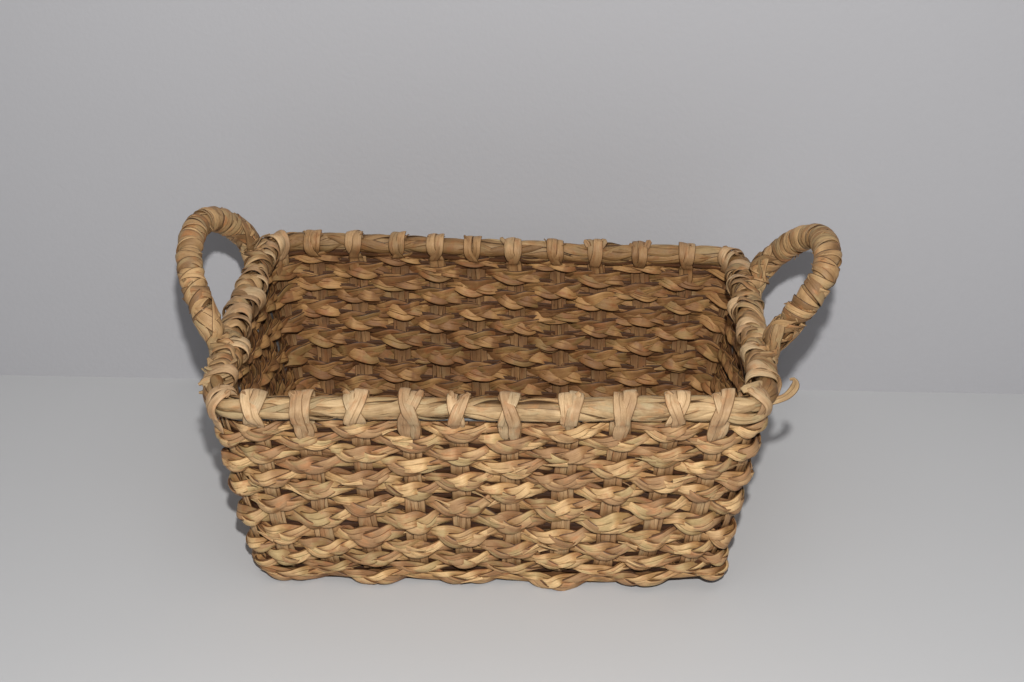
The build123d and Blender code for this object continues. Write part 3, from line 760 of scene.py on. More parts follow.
def foot_lining(piece, seed):
    """Leaf laid in behind the foot plait and under the basket, where the stakes turn in."""
    # inset beyond the wall's foot, height, 1 if it lies flat, half width
    for beyond, z, flat, width in ((3.4, 10.0, 0.0, 6.0), (8.0, 1.5, 1.0, 6.5),
                                   (18.0, 1.3, 1.0, 6.5)):
        depth = TAPER + beyond
        total = plan_total(depth)
        arc = ring_arcs(total, int(total / 4))
        spot = plan(TAPER, arc / total * plan_total(TAPER))
        height = z + wander(arc, 25.0, seed + int(depth), 0.5, total)
        normal = outward(spot) * (1 - flat) + np.array([0.0, 0.0, flat])
        # painted shade: the lining is drawn dark, for the shade behind and under the foot
        piece.strip(stand_off(spot, -beyond, height), normal, width, 0.4, 0.15, 0.37, 1.7,
                    around=6, closed=True)


def torn_tips(piece, centre, out, up, seed):
    """Torn tips lifting off a plait."""
    draw = random(seed)
    for _ in range(18):
        face = 1 if draw.uniform() < 0.6 else -1
        count = int(draw.integers(6, 10))
        first = int(draw.integers(0, len(centre)))
        pick = (first + draw.choice([-1, 1]) * np.arange(count)) % len(centre)
        part = np.linspace(0, 1, count)
        side, slope = draw.uniform(-4.5, 4.5), draw.uniform(-3.5, 3.5)
        rise = draw.uniform(0.8, 2.6)
        path = centre[pick] + up[pick] * (side + slope * part)[:, None]
        path = path + out[pick] * (face * (2.3 + rise * part**1.5))[:, None]
        normal = out[pick] * face + up[pick] * draw.uniform(-0.6, 0.6)
        piece.strip(path, normal, draw.uniform(1.0, 2.1) * (1 - 0.88 * part), 0.30,
                    draw.uniform(0.4, 1.0), draw.uniform(), 0.0 if face > 0 else 1.0, around=6,
                    v_start=draw.uniform(0, 30))


def build_row(row):
    seed = 1000 + 97 * row
    z, depth, tilt = row_place(row)
    total = plan_total(depth)
    arc = ring_arcs(total, int(round(total / 1.9)))
    wave = row_wave(row, stake_arcs(z, depth), arc, total)
    spot = plan(depth, arc)
    x, y, out_x, out_y = spot
    if row == FOOT:
        off = wave * 2.4 + wander(arc, 30.0, seed + 3, 0.4, total)
        rise = -0.5 * wave + wander(arc, 34.0, seed + 4, 0.6, total)
        for bump_x, deep in FOOT_BUMPS:
            lump = deep * np.exp(-(((x - bump_x) / 14.0) ** 2)) * (y < -60)
            rise, off = rise - lump, off + 0.8 * lump
        squeeze = 1.08 + 0.10 * np.abs(wave) + wander(arc, 30.0, seed + 5, 0.06, total)
    else:
        cornered = np.minimum(np.abs(out_x), np.abs(out_y)) > 0.05
        swing = ROW_SWING + 0.8 * cornered * (wave > 0) + wander(arc, 26.0, seed + 3, 0.45, total)
        off = wave * swing * np.where(wave < 0, 0.80, 0.96)
        rise = -1.1 * np.maximum(wave, 0) ** 1.2 + 0.2 + wander(arc, 34.0, seed + 4, 0.8, total)
        rise = rise + back_rise(row, y)
        if row == 0:
            rise = rise + 1.0 - wave
        front, back = smooth(-86, -108, y), smooth(70, 104, y)
        squeeze = 0.78 - 0.08 * front + 0.08 * back + wander(arc, 30.0, seed + 5, 0.05, total)
        squeeze = squeeze + (0.26 + 0.08 * front - 0.12 * back) * np.abs(wave) ** 1.4
    level = np.array([0.0, 0.0, 1.0])
    out = outward(spot) * math.cos(tilt) - level * math.sin(tilt)
    up = outward(spot) * math.sin(tilt) + level * math.cos(tilt)
    centre = stand_off(spot, 0.0, z) + out * off[:, None] + up * rise[:, None]
    tangent = tangents(centre, closed=True)
    out = square_to(out, tangent)
    up = np.cross(tangent, -out)
    up *= np.sign(up[:, 2:3])
    lengths = run_lengths(np.vstack([centre, centre[:1]]))
    piece = Piece("weaver_row_%02d" % (row + 1), "plait", "leaf_plait")
    plait(piece, centre, out, up, lengths[:-1], lengths[-1], 65.0 + random(seed).uniform(-6, 6),
          seed, squeeze, half={FOOT: 8.0, 0: 7.4}.get(row, 7.0), wave=wave)
    if row == FOOT:
        foot_lining(piece, seed)
    # dark strips with painted shade in the slit under the rim and in the gaps between rows
    if row == 0:
        gap_shade_strips(piece, 0, z + 8.2, float(inset(z + 8.2)) + 3.2, width=4.6, clear=4.0)
    if row < FOOT:
        below_z, below_depth, _ = row_place(row + 1)
        gap_shade_strips(piece, row, 0.5 * (z + below_z), 0.5 * (depth + below_depth), width=3.2,
                clear=3.5)
    torn_tips(piece, centre, out, up, seed + 900)
    piece.finish()


for row in range(FOOT + 1):
    build_row(row)


# ------------------------------------------------------------------ base
def base_height(row, x, swing):
    """Height of a base row weaving over and under the crosswise stakes."""
    marks = np.array([BASE_X[0] - 30] + BASE_X + [BASE_X[-1] + 30])
    signs = np.array([0] + [1 if (row + j) % 2 == 0 else -1 for j in range(10)] + [0], float)
    i = np.clip(np.searchsorted(marks, x, side="right") - 1, 0, len(marks) - 2)
    part = (x - marks[i]) / (marks[i + 1] - marks[i])
    part = (1 - np.cos(np.pi * part)) / 2
    part = np.clip((part - 0.5) * 1.3 + 0.5, 0, 1)
    return BASE_Z + swing * (signs[i] * (1 - part) + signs[i + 1] * part)


def build_base_weaver(number, row):
    seed = 4000 + 31 * row
    x = np.arange(-151.0, 151.1, 2.2)
    z = np.convolve(np.pad(base_height(row, x, 4.3), 3, "edge"), np.ones(7) / 7, "valid")
    centre = np.stack([x, BASE_Y[row] + wander(x, 40, seed, 0.4), z], -1)
    tangent = tangents(centre)
    up = square_to(np.array([0.0, 1.0, 0.0]), tangent)
    at = run_lengths(centre)
    piece = Piece("base_weaver_%02d" % number, "plait", "leaf_plait_base")
    plait(piece, centre, np.cross(tangent, up), up, at, at[-1], 50.0, seed,
          np.full(len(x), 0.80), half=6.6)
    # a flat leaf under the plait
    under = np.stack([x, np.full_like(x, BASE_Y[row]), 1.5 + wander(x, 30, seed + 8, 0.4)], -1)
    piece.strip(under, np.array([0.0, 0.0, 1.0]), 8.4, 0.4, 0.15, 0.61, 1.0, around=6)
    piece.finish()


weaver_rows = [row for row in range(len(BASE_Y)) if row not in BASE_STAKE_ROWS]
for number, row in enumerate(weaver_rows, 1):
    build_base_weaver(number, row)


# ------------------------------------------------------------------ stakes
def wall_line(side, number, lane, z_low, z_high=150.0):
    """Points and outward normals of a strip standing in the wall, lane along from the stake."""
    z = np.arange(z_low, z_high + 0.1, 5.0)
    spot = beside_stake(side, number, lane, z)
    return stand_off(spot, 0.0, z), outward(spot)


# A stake's end folded over the rim, as (outward from the roll's centre line, z).
# The fold runs from inside, over the roll and down outside.
INSIDE_START = [(-0.3, 139.5), (-2.8, 145.5), (-6.6, 150.3)]
OVER_ROLL = [(8.9 * math.cos(math.radians(a)), 8.9 * math.sin(math.radians(a)) + 158.0)
             for a in range(200, -21, -20)]
LOW_START = [(-1.2, 127.0), (-2.6, 132.5), (-3.2, 138.0), (-4.4, 144.5), (-6.8, 150.3)]
SHORT_END = [(7.2, 151.4), (5.6, 146.8), (4.2, 142.6), (2.6, 139.6)]
LONG_END = [(7.6, 151.4), (6.6, 146.2), (5.7, 141.0), (5.0, 136.0), (3.4, 131.0), (1.4, 127.6)]


def rim_strip(piece, side, number, seed, sideways, raised, width, long_end, tone):
    """One folded strip of a stake's end.

    sideways gives its place along the rim and raised its height above the roll, both by
    millimetres along the fold.
    """
    # where the first row passes outside the stake, the strip's inner end is seen further down
    profile = INSIDE_START + OVER_ROLL + LONG_END
    if not long_end:
        profile = LOW_START + OVER_ROLL + SHORT_END
    fold, at = resample(profile, 1.5)
    part = at / at[-1]
    ends = smooth(0, 0.12, part) * smooth(1.0, 0.86, part)
    if not long_end:
        at = at - 12.6
    tangent = tangents(fold)
    facing = np.stack([-tangent[:, 1], tangent[:, 0]], -1)
    fold = fold + facing * (raised(at) + wander(at, 9.0, seed + 3, 0.25))[:, None]
    lane = sideways(at) + wander(at, 14.0, seed + 5, 0.5)
    spot = beside_stake(side, number, lane, fold[:, 1])
    path = stand_off(spot, fold[:, 0], fold[:, 1])
    _, _, out_x, out_y = spot
    normal = np.stack([out_x * facing[:, 0], out_y * facing[:, 0], facing[:, 1]], -1)
    # the strip is tipped sideways here and there, so one edge stands off the roll
    along = np.stack([-out_y, out_x, np.zeros_like(out_x)], -1)
    normal = normal + along * wander(at, 13.0, seed + 6, 0.35)[:, None]
    width = width * (1 + wander(at, 12.0, seed + 8, 0.14)) * (0.62 + 0.38 * ends)
    # darker inside the basket, partly its own less faded colour and partly painted shade; along the
    # back, further from the lamp, the whole strip gets painted shade
    inner = 0.9 * smooth(0.32, 0.10, part)
    if side == "back":
        inner = 0.35 + 0.8 * smooth(0.60, 0.10, part)
    piece.strip(path, normal, width, 0.62, tone, (seed * 0.137) % 1.0, inner, around=10,
                bow=0.35, v_start=(seed * 0.71) % 37, edge=0.85, puff=0.5)


def rim_tie(piece, side, number, seed, wide=4.6):
    """The stake's two strips cross on both sides of the rim and stand off it at the top."""
    draw = random(seed)
    long_end = STAKES.index((side, number)) % 2 == 1
    top = draw.integers(0, 2)
    spread, cross, low = draw.uniform(3.2, 4.6), draw.uniform(1.8, 3.8), draw.uniform(1.8, 3.2)
    if side == "back":
        wide, spread, low = wide * 0.86, spread - 1.1, low - 0.7
    if draw.uniform() < 0.2:
        cross = -draw.uniform(0.8, 2.0)            # a few only close up without crossing
    begin = draw.uniform(31.0, 36.0)
    for which, sign in enumerate((-1, 1)):
        over = which == top
        tone = draw.uniform(0.30, 1.0)
        short_side = side in ("left", "right")
        stand = draw.uniform(4.0, 8.5) if short_side else draw.uniform(1.0, 4.6)
        where = draw.uniform(22.0, 30.0)

        def sideways(at):
            opened = (low + spread) * smooth(8, 24, at)
            return sign * (-low + opened - (spread + cross) * smooth(begin, 56, at))

        def raised(at):
            lap = smooth(38, 46, at) if over else 1 - smooth(20, 28, at)
            return 0.1 + 1.25 * lap + stand * np.exp(-(((at - where) / 6.5) ** 2))

        rim_strip(piece, side, number, seed + 11 * which, sideways, raised,
                  wide * draw.uniform(0.90, 1.14), long_end, tone)
    # short torn tips that stick up beside the fold
    part = np.array([0.0, 0.35, 0.7, 1.0])
    for n in range(int(draw.integers(1, 4))):
        way = draw.choice([-1, 1])
        lane, height = way * draw.uniform(3.0, 5.8), draw.uniform(-2.0, 2.6)
        lean = way * draw.uniform(0, 5)
        spot = beside_stake(side, number, lane + lean * part, np.full(4, ROLL_Z))
        out = -6.5 + 5.0 * part if side == "back" else 0.5 - 4.0 * part
        z = ROLL_Z + 8.0 + (4.0 + height) * part - 2.0 * part * part
        free_strip(piece, stand_off(spot, out, z), stand_off(spot, out - 6, z - 2),
                   draw.uniform(1.5, 2.9), draw.uniform(0.0, 0.6), seed + 31 + n, thick=0.4,
                   taper=(0.9, 0.05), inner=0.3, curl=draw.uniform(-1.2, 1.2))


def stake_waver(side, number, z):
    """The stake bends a little away from each plait: in where it passes outside, and out."""
    i = STAKES.index((side, number))
    signs = [1.0 if (i + row) % 2 == 0 else -1.0 for row in range(FOOT)]
    return -0.55 * np.interp(z, ROW_Z[::-1], signs[::-1])


def crossing_shade(side, number, z):
    """Extra shade on the stake's front and back where rows cover it."""
    i = STAKES.index((side, number))
    both = [np.zeros(len(z)), np.zeros(len(z))]
    for row, row_z in enumerate(ROW_Z):
        both[(i + row) % 2] += 1.1 * np.exp(-(((z - row_z) / 7.5) ** 2))
    return both


def wall_strips(piece, side, number, seed, lanes, z_low, width):
    for n, lane in enumerate(lanes):
        points, normals = wall_line(side, number, lane, z_low)
        draw = random(seed + n)
        z = points[:, 2]
        off = stake_waver(side, number, z) + wander(z, 17.0, seed + n + 40, 0.45)
        off = off + (0.45 if n == 1 else -0.1)
        points = points + normals * off[:, None]
        drift = wander(z, 24.0, seed + n + 45, 1.2)
        points = points + np.cross(normals, [0, 0, 1.0]) * drift[:, None]
        line, at = resample(points, 2.4)
        normal = stretch(resample(normals, 2.4)[0], len(line))
        across = np.cross(normal, [0, 0, 1.0])
        normal = normal + across * wander(at, 20.0, seed + n + 60, 0.45)[:, None]
        piece.strip(line, normal, width * (1 + wander(at, 15.0, seed + n + 80, 0.22)), 0.55,
                    draw.uniform(0.1, 0.8), draw.uniform(), bow=0.25,
                    v_start=draw.uniform(0, 30), edge=0.9, puff=0.5,
                    dark=crossing_shade(side, number, line[:, 2]))


def foot_turn(side, number, lane, inward):
    """Quarter turn from a wall's foot to the base plane, with outward normals."""
    top = wall_line(side, number, lane, WALL_FOOT, WALL_FOOT)[0][0]
    angle = np.linspace(0, math.pi / 2, 6)[:, None]
    down = np.array([0.0, 0.0, -1.0])
    base = np.array([top[0], top[1], BASE_Z + BEND_R])
    points = base + BEND_R * (inward * (1 - np.cos(angle)) + down * np.sin(angle))
    return points, down * np.sin(angle) - inward * np.cos(angle)


def under_line(sides, number, lane):
    """A stake's way from one wall's foot across the base to the other's, with normals."""
    lengthwise = sides[0] == "left"
    axis = 0 if lengthwise else 1
    inward = np.eye(3)[axis]
    first_lane = -lane if lengthwise else lane
    first, first_normals = foot_turn(sides[0], number, first_lane, inward)
    second, second_normals = foot_turn(sides[1], number, -first_lane, -inward)
    along = np.arange(first[-1][axis] + 6, second[-1][axis] - 5, 5.4)
    if lengthwise:
        row = BASE_STAKE_ROWS[number]
        x, y, z = along, BASE_Y[row] + lane, base_height(row, along, 2.1)
    else:
        x, y = BASE_X[number] + lane, along
        z = BASE_Z - 0.5 * np.cos(math.pi * (along / 32.4))
    middle = np.stack(np.broadcast_arrays(x, y, z), -1)
    normals = np.tile([0.0, 0.0, -1.0], (len(along), 1))
    return (np.vstack([first, middle, second[::-1]]),
            np.vstack([first_normals, normals, second_normals[::-1]]))


def under_strips(piece, sides, number, seed, lanes):
    for n, lane in enumerate(lanes):
        draw = random(seed + 200 + n)
        points, normals = under_line(sides, number, lane)
        line, at = resample(points, 2.6)
        line[:, 2] = np.maximum(line[:, 2] + wander(at, 18.0, seed + n + 90, 0.35), 1.0)
        width = 2.35 * (1 + wander(at, 15.0, seed + n + 95, 0.15))
        piece.strip(line, stretch(normals, len(line)), width, 0.55, draw.uniform(0.1, 0.8),
                    draw.uniform(), 0.5, bow=0.25, v_start=draw.uniform(0, 30), edge=0.95,
                    puff=0.6)


def build_stakes(kind, sides, wall_seed, under_seed, width):
    """Stakes that stand in two facing walls and cross the base between them."""
    count = len(RIM_STAKES[sides[0]])
    for number in range(count):
        piece = Piece("%s_stake_%02d" % (kind, number + 1), "leaf", "leaf_stake")
        gap = NARROW_LANE if number in (0, count - 1) else WIDE_LANE
        lanes = (-gap, 0.0, gap)
        for side in sides:
            seed = wall_seed + 50 * STAKES.index((side, number))
            wall_strips(piece, side, number, seed, lanes, WALL_FOOT, width)
            rim_tie(piece, side, number, seed + 9)
        under_strips(piece, sides, number, under_seed + 50 * number, lanes)
        piece.finish()


NARROW_LANE, WIDE_LANE = 2.9, 3.7       # spacing of a stake's three strips
build_stakes("cross", ("front", "back"), wall_seed=7000, under_seed=7600, width=3.3)
build_stakes("end", ("left", "right"), wall_seed=8200, under_seed=8800, width=3.9)
for number, place in enumerate(("front_right", "back_right", "back_left", "front_left")):
    piece = Piece("corner_stake_" + place, "leaf", "leaf_stake")
    seed = 9100 + 70 * number
    lanes = (-NARROW_LANE, 0.0, NARROW_LANE)
    wall_strips(piece, "corner", number, seed, lanes, z_low=14.0, width=2.0)
    rim_tie(piece, "corner", number, seed + 9, wide=3.8)
    piece.finish()


# ------------------------------------------------------------------ rim
RIM_TOTAL = plan_total(0.0)
TIES = stake_arcs(ROLL_Z, 0.0)
RIM_ARC = ring_arcs(RIM_TOTAL, int(RIM_TOTAL / 3.0))


def rim_radius(arc):
    """The roll's radius, drawn in at every tie."""
    half = RIM_TOTAL / 2
    gap = np.abs((arc[:, None] - TIES[None] + half) % RIM_TOTAL - half).min(1)
    return 7.2 - 1.2 * np.exp(-((gap / 8.0) ** 2)) + wander(arc, 30.0, 515, 0.35, RIM_TOTAL)


def roll_leaves(piece):
    """Overlapping leaves that wind slowly round the roll in five lanes."""
    draw = random(77)
    lane_count = 5
    across, through = section(10, edge=0.85, puff=0.5)
    for lane in range(lane_count):
        start = draw.uniform(0, 90)
        stop = start + RIM_TOTAL
        while start < stop:
            length = draw.uniform(62, 118)
            part = np.linspace(0, 1, int(length / 2.0))
            arc = start + np.linspace(0, length, len(part))
            seed = int(draw.integers(1, 10**6))
            mid = start + 0.5 * length
            theta = 2 * np.pi * lane / lane_count + 0.018 * mid
            theta = theta + draw.uniform(-0.034, 0.052) * (arc - mid)
            theta = theta + wander(arc, 26.0, seed, 0.40) + draw.uniform(-0.2, 0.2)
            # long pointed ends, and a body that swells between two ties
            half = (0.80 + 0.14 * draw.uniform(-1, 1)) * (0.12 + 0.88 * rise_fall(part, 1, 0.32))
            half = half * (1 + wander(arc, 18.0, seed + 2, 0.14))
            layer = draw.uniform(-0.1, 1.0) - 1.5 * (1 - rise_fall(part, 1, 0.16))
            radius = rim_radius(arc % RIM_TOTAL) + layer + wander(arc, 16.0, seed + 3, 0.35)
            spot = plan(0.0, arc)
            angle = theta[:, None] + across * half[:, None]
            tip = draw.uniform(-0.5, 0.9)
            radius = radius[:, None] + through * 0.7 - 0.75 * across**2 + tip * across
            grid = stand_off([a[:, None] for a in spot], radius * np.cos(angle),
                             ROLL_Z + radius * np.sin(angle))
            x, y = spot[:2]
            # painted shade: darker inside the basket (there partly the inside's own colour), at the
            # back, further from the lamp, and along the short sides, in the hollows under the lashing
            # turns
            inner = smooth(-0.2, 0.9, -np.cos(theta)) * 0.7 + 0.35 * smooth(60, 100, y)
            inner = inner + (smooth(RIM_L / 2 - 14, RIM_L / 2 - 4, np.abs(x))
                             * smooth(RIM_W / 2 - 4, RIM_W / 2 - 22, np.abs(y)))
            piece.add(grid[:, ::-1], (0.5 + 0.5 * across)[::-1], arc / 10.0,
                      draw.uniform(0.25, 1.0), draw.uniform(), inner)
            start += length * 0.70


# Loose strip ends on the rim's corners: points, the centre they face away from, half width,
# tone, seed, curl
CORNER_ENDS = [
    # front right: one stands out sideways and curls up
    ([(176, -114, 157), (187, -110, 155.5), (196, -108.5, 156), (202.5, -108, 158.5),
      (207, -107, 163), (208.5, -106.5, 167.5), (207, -106, 171), (204.5, -106, 170.5)],
     (190, -60, 120), 2.9, 0.5, 301, 0.3),
    ([(160, -131, 156), (170, -131.5, 153.5), (180, -128, 151.5), (190, -121, 152)],
     (170, -112, 150), 3.0, 0.6, 302, 0.2),
    ([(176, -128, 160), (186, -121, 158), (193, -110, 156), (197, -99, 153)],
     (180, -108, 154), 3.0, 0.45, 304, 0.2),
    ([(172, -119, 169), (179, -112, 168.5), (185, -104, 166), (190, -97, 163)],
     (172, -105, 155), 3.2, 0.8, 303, 0.2),
]
# front left: the roll's ragged end, a few strips fanned outwards: y, z, length, tone
FAN_X = -186
FAN = ((-96, 164, 15, 0.45), (-91, 159, 16, 0.25), (-99, 156, 15, 0.4), (-85, 166, 13, 0.5),
       (-94, 160, 14, 0.1), (-101, 160, 12, 0.3), (-88, 162, 15, 0.6), (-80, 164, 12, 0.3))
for n, (y, z, length, tone) in enumerate(FAN):
    points = [(FAN_X + 7, y + 9, z + 1.0), (FAN_X, y + 4, z + 0.8),
              (FAN_X - length * 0.55, y, z), (FAN_X - length, y - 3 + n, z - 2.0 + n)]
    centre = (FAN_X + 4, y + 8, z - 9)
    CORNER_ENDS.append((points, centre, 2.7, tone, 320 + n, 0.9 * (-1) ** n))
CORNER_ENDS += [
    # back left: two short ends past the handle's foot
    ([(-195, 86, 168), (-192, 90, 173), (-188, 93, 177), (-182, 95, 178.5)],
     (-190, 92, 160), 2.0, 0.35, 340, 0.6),
    ([(-193, 84, 169), (-189, 88, 173), (-184, 91, 175)],
     (-188, 88, 160), 1.6, 0.2, 341, -0.4),
]


def build_rim_roll():
    piece = Piece("rim_roll", "leaf", "leaf_rim")
    spot = plan(0.0, RIM_ARC)
    radius = rim_radius(RIM_ARC) - 0.9
    piece.strip(stand_off(spot, 0.0, ROLL_Z), outward(spot), radius, radius, 0.35, 0.5, 0.2,
                around=12, closed=True, edge=1.0, puff=1.0)
    roll_leaves(piece)
    for points, centre, width, tone, seed, curl in CORNER_ENDS:
        free_strip(piece, points, [centre] * len(points), width, tone, seed, taper=(0.7, 0.35),
                   curl=curl)
    piece.finish()


def build_rim_wire():
    piece = Piece("rim_wire", "steel", "galvanised_wire")
    spot = plan(0.0, RIM_ARC)
    z = WIRE_Z + wander(RIM_ARC, 60, 4, 0.5, RIM_TOTAL)
    piece.strip(stand_off(spot, 0.0, z), outward(spot), WIRE_R, WIRE_R, 0.5, 0.5, around=12,
                closed=True, edge=1.0, puff=1.0)
    piece.finish()


build_rim_roll()
build_rim_wire()


# ------------------------------------------------------------------ handles
class Handle:
    """A handle's centre line, with its tangent, outward and side directions."""

    def __init__(self, name):
        shape = HANDLES[name]
        self.name = name
        self.sign = -1 if name == "left" else 1
        self.feet = [RIM_STAKES[name][i] for i in shape["stakes"]]
        line = self.loop(**shape)
        # slight unevenness of the hand-bent wire
        at = np.linspace(0, self.bare_length, len(line))
        ends = rise_fall(at, at[-1], 20)
        seed = 61 if name == "left" else 62
        line[:, 1] += wander(at, 45.0, seed, 0.9) * ends
        line[:, 0] += wander(at, 45.0, seed + 5, 0.7) * ends
        self.line = line
        self.length = run_lengths(line)
        self.total = self.length[-1]
        self.tangent = tangents(line)
        out = np.array([float(self.sign), 0.0, 0.0])
        outs = []
        for along in self.tangent:
            out = unit(out - out.dot(along) * along)
            outs.append(out)
        self.out = np.array(outs)
        self.side = np.cross(self.tangent, self.out)

    def loop(self, stakes, lean, middle, half, height, full, skew):
        """The smooth superellipse loop between the two feet."""
        lean = math.radians(lean)
        low = LEG_OUT / math.sin(lean)
        first = math.asin((low / height) ** (full / 2))
        angle = first + (math.pi - 2 * first) * np.arange(61) / 60
        rise = height * np.sin(angle) ** (2 / full)
        turn = np.cos(angle)
        y = middle - skew * rise * rise - np.copysign(half * np.abs(turn) ** (2 / full), turn)
        arch = rim_local(self.sign, rise * math.sin(lean), y, ROLL_Z + rise * math.cos(lean))
        ends = rim_local(self.sign, LEG_OUT, self.feet, ROLL_Z + 6.0)
        points = np.vstack([ends[:1], arch, ends[1:]])
        length = run_lengths(points)
        self.bare_length = length[-1]
        line = interp_columns(np.linspace(0, length[-1], 261), length, points)
        for _ in range(60):
            line[1:-1] = 0.25 * line[:-2] + 0.5 * line[1:-1] + 0.25 * line[2:]
        return line

    def at(self, places):
        """Centre, tangent, outward and side directions at lengths along the line."""
        arrays = (self.line, self.tangent, self.out, self.side)
        return [interp_columns(places, self.length, values) for values in arrays]


def rim_local(sign, out, y, z):
    """Points given as outward, y and z beside a short side's rim."""
    x = sign * (RIM_L / 2 + np.asarray(out, float))
    return np.stack(np.broadcast_arrays(x, np.asarray(y, float), np.asarray(z, float)), -1)


def wind(piece, handle, places, theta, radius, width, tone, seed, lift, thick=0.62, around=10):
    """A strip wound round the handle: places along it, theta round it; lift raises one edge."""
    across, through = section(around, edge=0.95, puff=0.6)
    total = handle.total
    along = np.clip(places[:, None] + across * width[:, None], -2.0, total + 2.0).ravel()
    centre, tangent, out, side = handle.at(along)
    extra = np.minimum(along, 0) + np.maximum(along - total, 0)
    centre = centre + tangent * extra[:, None]
    theta = np.repeat(theta, around)
    radius = (radius[:, None] + lift * across + through * thick).ravel()
    round_it = out * np.cos(theta)[:, None] + side * np.sin(theta)[:, None]
    grid = (centre + round_it * radius[:, None]).reshape(len(places), around, 3)
    v = run_lengths(grid.mean(1)) / 10 + (seed * 0.7) % 20
    piece.add(grid, 0.5 + 0.5 * across, v, tone, (seed * 0.317) % 1.0, 0.0)


def handle_wire(handle):
    """The stiff wire with its legs inside the wall."""
    legs = [wall_line(handle.name, i, 0.0, 62.0, 143.0)[0] for i in HANDLES[handle.name]["stakes"]]
    wire, _ = resample(np.vstack([legs[0], handle.line[::6], legs[1][::-1]]), 2.5)
    normal = np.array([float(handle.sign), 0.13, 0.2])
    piece = Piece("handle_%s_wire" % handle.name, "steel", "galvanised_wire")
    piece.strip(wire, normal, WIRE_R, WIRE_R, 0.5, 0.5, around=10, edge=1.0, puff=1.0)
    piece.finish()


def handle_core(handle):
    length, total = handle.length, handle.total
    keep = (length > 5) & (length < total - 5)
    fat = 5.6 - 1.6 * (1 - smooth(3, 18, length) * smooth(total - 3, total - 18, length))
    piece = Piece("handle_%s_core" % handle.name, "leaf", "leaf_handle")
    piece.strip(handle.line[keep], handle.out[keep], fat[keep], fat[keep], 0.2, 0.4, 0.3,
                around=14, edge=1.0, puff=1.0)
    piece.finish()


def main_winding(piece, handle, draw, seed):
    """Several strips wound one after another, each starting under the last."""
    pitch, per_turn = 9.6, 30
    total = handle.total
    theta_start = draw.uniform(0, 6.28)
    places = np.arange(3.0, total - 3.0, pitch / per_turn)
    turn = np.arange(len(places)) / per_turn
    theta = theta_start + 2 * np.pi * turn
    slant = 2.2 + wander(turn, 1.6, seed + 2, 1.8)
    places = places + wander(turn, 1.0, seed + 1, 1.2)
    places = places + slant * np.sin(theta + wander(turn, 2.0, seed + 3, 2.6))
    width = 5.6 * (1 + wander(turn, 0.8, seed + 4, 0.22))
    radius = 5.0 + 2.2 * rise_fall(places, total, 16) + wander(turn, 0.5, seed + 5, 0.6)
    tone = np.clip(0.5 + wander(turn, 0.8, seed + 6, 0.65), 0, 1)
    joints = np.sort(draw.uniform(0, turn[-1], 5))
    cuts = [0] + [int(np.searchsorted(turn, joint)) for joint in joints] + [len(places)]
    for n, (a, b) in enumerate(zip(cuts, cuts[1:])):
        if b - a < 12:
            continue
        b = min(b + 10, len(places))
        index = np.arange(b - a)
        ends = 0.35 + 0.65 * smooth(0, 8, index)
        ends = ends * (0.35 + 0.65 * smooth(b - a - 1, b - a - 9, index))
        wind(piece, handle, places[a:b], theta[a:b], radius[a:b] + 0.25 * (n % 2),
             width[a:b] * ends, tone[a:b], seed + 17 * n, lift=2.3)


def handle_wrap(handle):
    piece = Piece("handle_%s_wrap" % handle.name, "leaf", "leaf_handle")
    total = handle.total
    seed = 5100 if handle.name == "left" else 5600
    draw = random(seed)
    main_winding(piece, handle, draw, seed)
    # wide strips that cross the winding at a steeper slant, most of them the other way round
    for n in range(13):
        start = 12 + (total - 40) * (n + draw.uniform(0, 1)) / 13
        span = draw.uniform(1.1, 2.3)
        part = np.linspace(0, 1, int(30 * span) + 6)
        slant = (1 if n % 4 == 0 else -1) * draw.uniform(11, 17) * span
        theta = draw.uniform(0, 6.28) + part * span * 2 * np.pi
        width = draw.uniform(3.2, 5.2) * (0.15 + 0.85 * rise_fall(part, 1, 0.15))
        width = width * (1 + wander(part * span, 0.4, seed + 60 + n, 0.12))
        radius = 8.0 + 0.7 * rise_fall(part, 1, 0.12) + wander(part * 30, 8, seed + 80 + n, 0.3)
        places = start + slant * (part - (1 if slant < 0 else 0))
        wind(piece, handle, places, theta, radius, width, draw.uniform(0.25, 1.0),
             seed + 300 + n, lift=0.9 * draw.choice([-1, 1]), thick=0.5)
    # small frayed tips standing off the winding
    part = np.linspace(0, 1, 9)
    for n in range(30):
        start, theta = draw.uniform(10, total - 10), draw.uniform(0, 6.28)
        width = draw.uniform(1.2, 2.3) * (1 - 0.85 * part)
        wind(piece, handle, start + draw.uniform(-3, 3) * part,
             theta + part * draw.uniform(0.45, 0.9), 8.4 + draw.uniform(1.4, 3.0) * part**1.4,
             width, draw.uniform(0.2, 0.9), seed + 500 + n, lift=0.0, thick=0.35, around=8)
    piece.finish()


handles = [Handle(name) for name in HANDLES]
for handle in handles:
    handle_wire(handle)
    handle_core(handle)
    handle_wrap(handle)


# ------------------------------------------------------------------ lashings on the short sides
# a closed turn round the roll and the wire, as (outward, z)
RING = [(9.0 * math.cos(math.radians(a)), 158.0 + 9.0 * math.sin(math.radians(a)))
        for a in range(-30, 211, 20)]
RING += [(-5.6, 147.0), (-2.2, 144.9), (2.2, 144.9), (5.6, 147.0)]
# y of each turn
TURNS = {
    "left": {"front": (-75.4, -69.2, -63.0, -37.0, -30.8),
             "back": (78.6, 72.4, 66.2, 40.4, 34.2)},
    "right": {"front": (-75.4, -69.2, -41.0, -34.8, -28.6),
              "back": (75.0, 49.4, 43.2, 37.0, 30.8)},
}
MIDDLE_TURNS = (-6.2, 0.0, 6.2)


